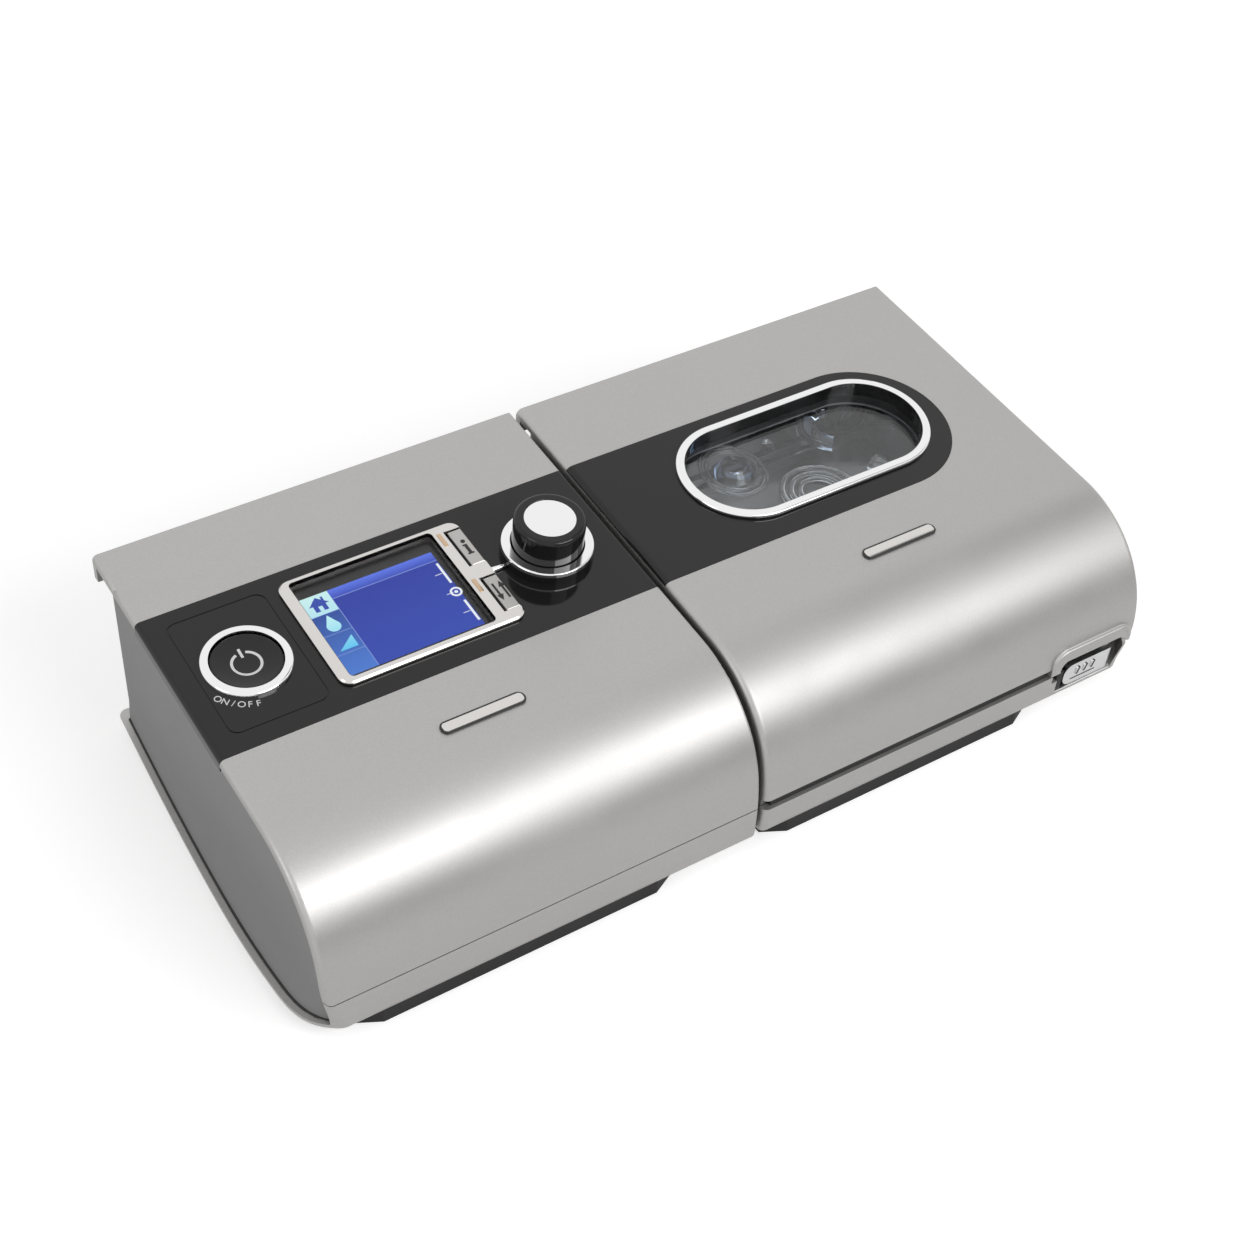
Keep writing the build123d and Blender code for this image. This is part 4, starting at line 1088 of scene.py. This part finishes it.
class BREATHER_OT_dress_case(bpy.types.Operator):
    """Give every modelled solid its finish"""

    bl_idname = "breather.dress_case"
    bl_label = "Dress the case"

    def execute(self, context):
        settings = context.scene.breather_finish
        make_finishes(settings.paint, settings.side, settings.gloss)
        dress()
        return {"FINISHED"}


class BREATHER_OT_light_display(bpy.types.Operator):
    """Model the lit picture under the display's glass"""

    bl_idname = "breather.light_display"
    bl_label = "Light the display"

    def execute(self, context):
        display_fields()
        display_signs()
        display_marks()
        return {"FINISHED"}


class BREATHER_OT_print_controls(bpy.types.Operator):
    """Model the signs on the start button and the two keys"""

    bl_idname = "breather.print_controls"
    bl_label = "Print the controls"

    def execute(self, context):
        power_sign()
        switch_words()
        key_signs()
        return {"FINISHED"}


class BREATHER_OT_trim_controls(bpy.types.Operator):
    """Model the badge plates and the small trim on the control band"""

    bl_idname = "breather.trim_controls"
    bl_label = "Trim the controls"

    def execute(self, context):
        badge_plate("fg_badge", "housing")
        badge_plate("lid_badge", "lid")
        guide_pin()
        key_scoops()
        return {"FINISHED"}


class BREATHER_OT_mould_tub(bpy.types.Operator):
    """Model the clear ducts and rings on the water tub"""

    bl_idname = "breather.mould_tub"
    bl_label = "Mould the tub's ducts"

    def execute(self, context):
        tub_mouldings()
        return {"FINISHED"}


class BREATHER_OT_detail_latch(bpy.types.Operator):
    """Model the painted shadows of the grips, the painted shade of the groove and pocket, and the
    spring, rim and sill of the latch
    """

    bl_idname = "breather.detail_latch"
    bl_label = "Detail the latch"

    def execute(self, context):
        latch_details()
        latch_rim()
        latch_pocket()
        return {"FINISHED"}


class BREATHER_OT_detail_case(bpy.types.Operator):
    """Model the seals that also paint the side gaps' shade, the painted shade of the screw
    recesses, and the grips on the sides, the back and the underside
    """

    bl_idname = "breather.detail_case"
    bl_label = "Detail the case"

    def execute(self, context):
        seal_and_gap_shade("fg_left_panel", "left_seal")
        seal_and_gap_shade("hm_right_panel", "right_seal")
        port_ribs()
        screw_recesses()
        rating_plate()
        socket_pins()
        filter_grip()
        card_grip()
        hinge_caps()
        return {"FINISHED"}


class BREATHER_OT_lay_stage(bpy.types.Operator):
    """Lay the floor, hang the lamps and place the camera"""

    bl_idname = "breather.lay_stage"
    bl_label = "Lay the stage"

    def execute(self, context):
        settings = context.scene.breather_stage
        select_none()
        bpy.ops.mesh.primitive_plane_add(size=settings.floor_size)
        floor = bpy.context.object
        floor.name = "studio_floor"
        material, shader = finish("studio_floor", Base_Color=grey(0.8), Roughness=0.9)
        tree = material.node_tree
        shader.inputs["Emission Color"].default_value = grey(1.0)
        seen, unseen = FLOOR_GLOW
        path = tree.nodes.new("ShaderNodeLightPath")
        glow = math_node(tree, "MULTIPLY", path.outputs["Is Camera Ray"], seen)
        wire(material, math_node(tree, "MAXIMUM", glow, unseen), shader.inputs["Emission Strength"])
        floor.data.materials.append(material)

        world = bpy.data.worlds.new("studio")
        context.scene.world = world
        world.use_nodes = True
        backdrop = world.node_tree.nodes["Background"]
        backdrop.inputs["Color"].default_value = grey(1.0)
        level = math_node(world.node_tree, "MAXIMUM", seen_rays(world.node_tree), settings.ambient)
        world.node_tree.links.new(level, backdrop.inputs["Strength"])

        softbox("key_softbox", *KEY_LAMP, settings.key_power)
        softbox("left_softbox", *LEFT_LAMP, settings.key_power * LEFT_SHARE)
        card("front_flag", *FRONT_FLAG)
        card("right_flag", *RIGHT_FLAG)

        aim = Matrix.Rotation(-YAW, 3, "Z") @ Matrix.Rotation(pi / 2 - PITCH, 3, "X")
        turn = aim @ Matrix.Rotation(ROLL, 3, "Z")
        bpy.ops.object.camera_add(location=Vector(EYE) * MM, rotation=turn.to_euler())
        camera = bpy.context.object
        camera.data.lens = LENS
        camera.data.shift_x, camera.data.shift_y = SHIFT
        context.scene.camera = camera
        context.scene.view_settings.view_transform = "Standard"
        return {"FINISHED"}


class BREATHER_PT_panel(bpy.types.Panel):
    """Buttons that build the machine's finishes and fine pieces"""

    bl_label = "Breathing machine"
    bl_idname = "BREATHER_PT_panel"
    bl_space_type = "VIEW_3D"
    bl_region_type = "UI"
    bl_category = "Breathing machine"

    def draw(self, context):
        for settings in (context.scene.breather_finish, context.scene.breather_stage):
            for name in settings.__annotations__:
                self.layout.prop(settings, name)
        for operator in OPERATORS:
            self.layout.operator(operator.bl_idname)


SETTINGS = {"breather_finish": BreatherFinishSettings, "breather_stage": BreatherStageSettings}
OPERATORS = (
    BREATHER_OT_dress_case, BREATHER_OT_light_display, BREATHER_OT_print_controls,
    BREATHER_OT_trim_controls, BREATHER_OT_mould_tub, BREATHER_OT_detail_latch,
    BREATHER_OT_detail_case, BREATHER_OT_lay_stage,
)
CLASSES = (*SETTINGS.values(), *OPERATORS, BREATHER_PT_panel)


def register():
    for part in CLASSES:
        bpy.utils.register_class(part)
    for name, group in SETTINGS.items():
        setattr(bpy.types.Scene, name, PointerProperty(type=group))


def unregister():
    for name in SETTINGS:
        delattr(bpy.types.Scene, name)
    for part in reversed(CLASSES):
        bpy.utils.unregister_class(part)


def main():
    register()
    for operator in OPERATORS:
        area, name = operator.bl_idname.split(".")
        getattr(getattr(bpy.ops, area), name)()


if __name__ == "__main__":
    main()
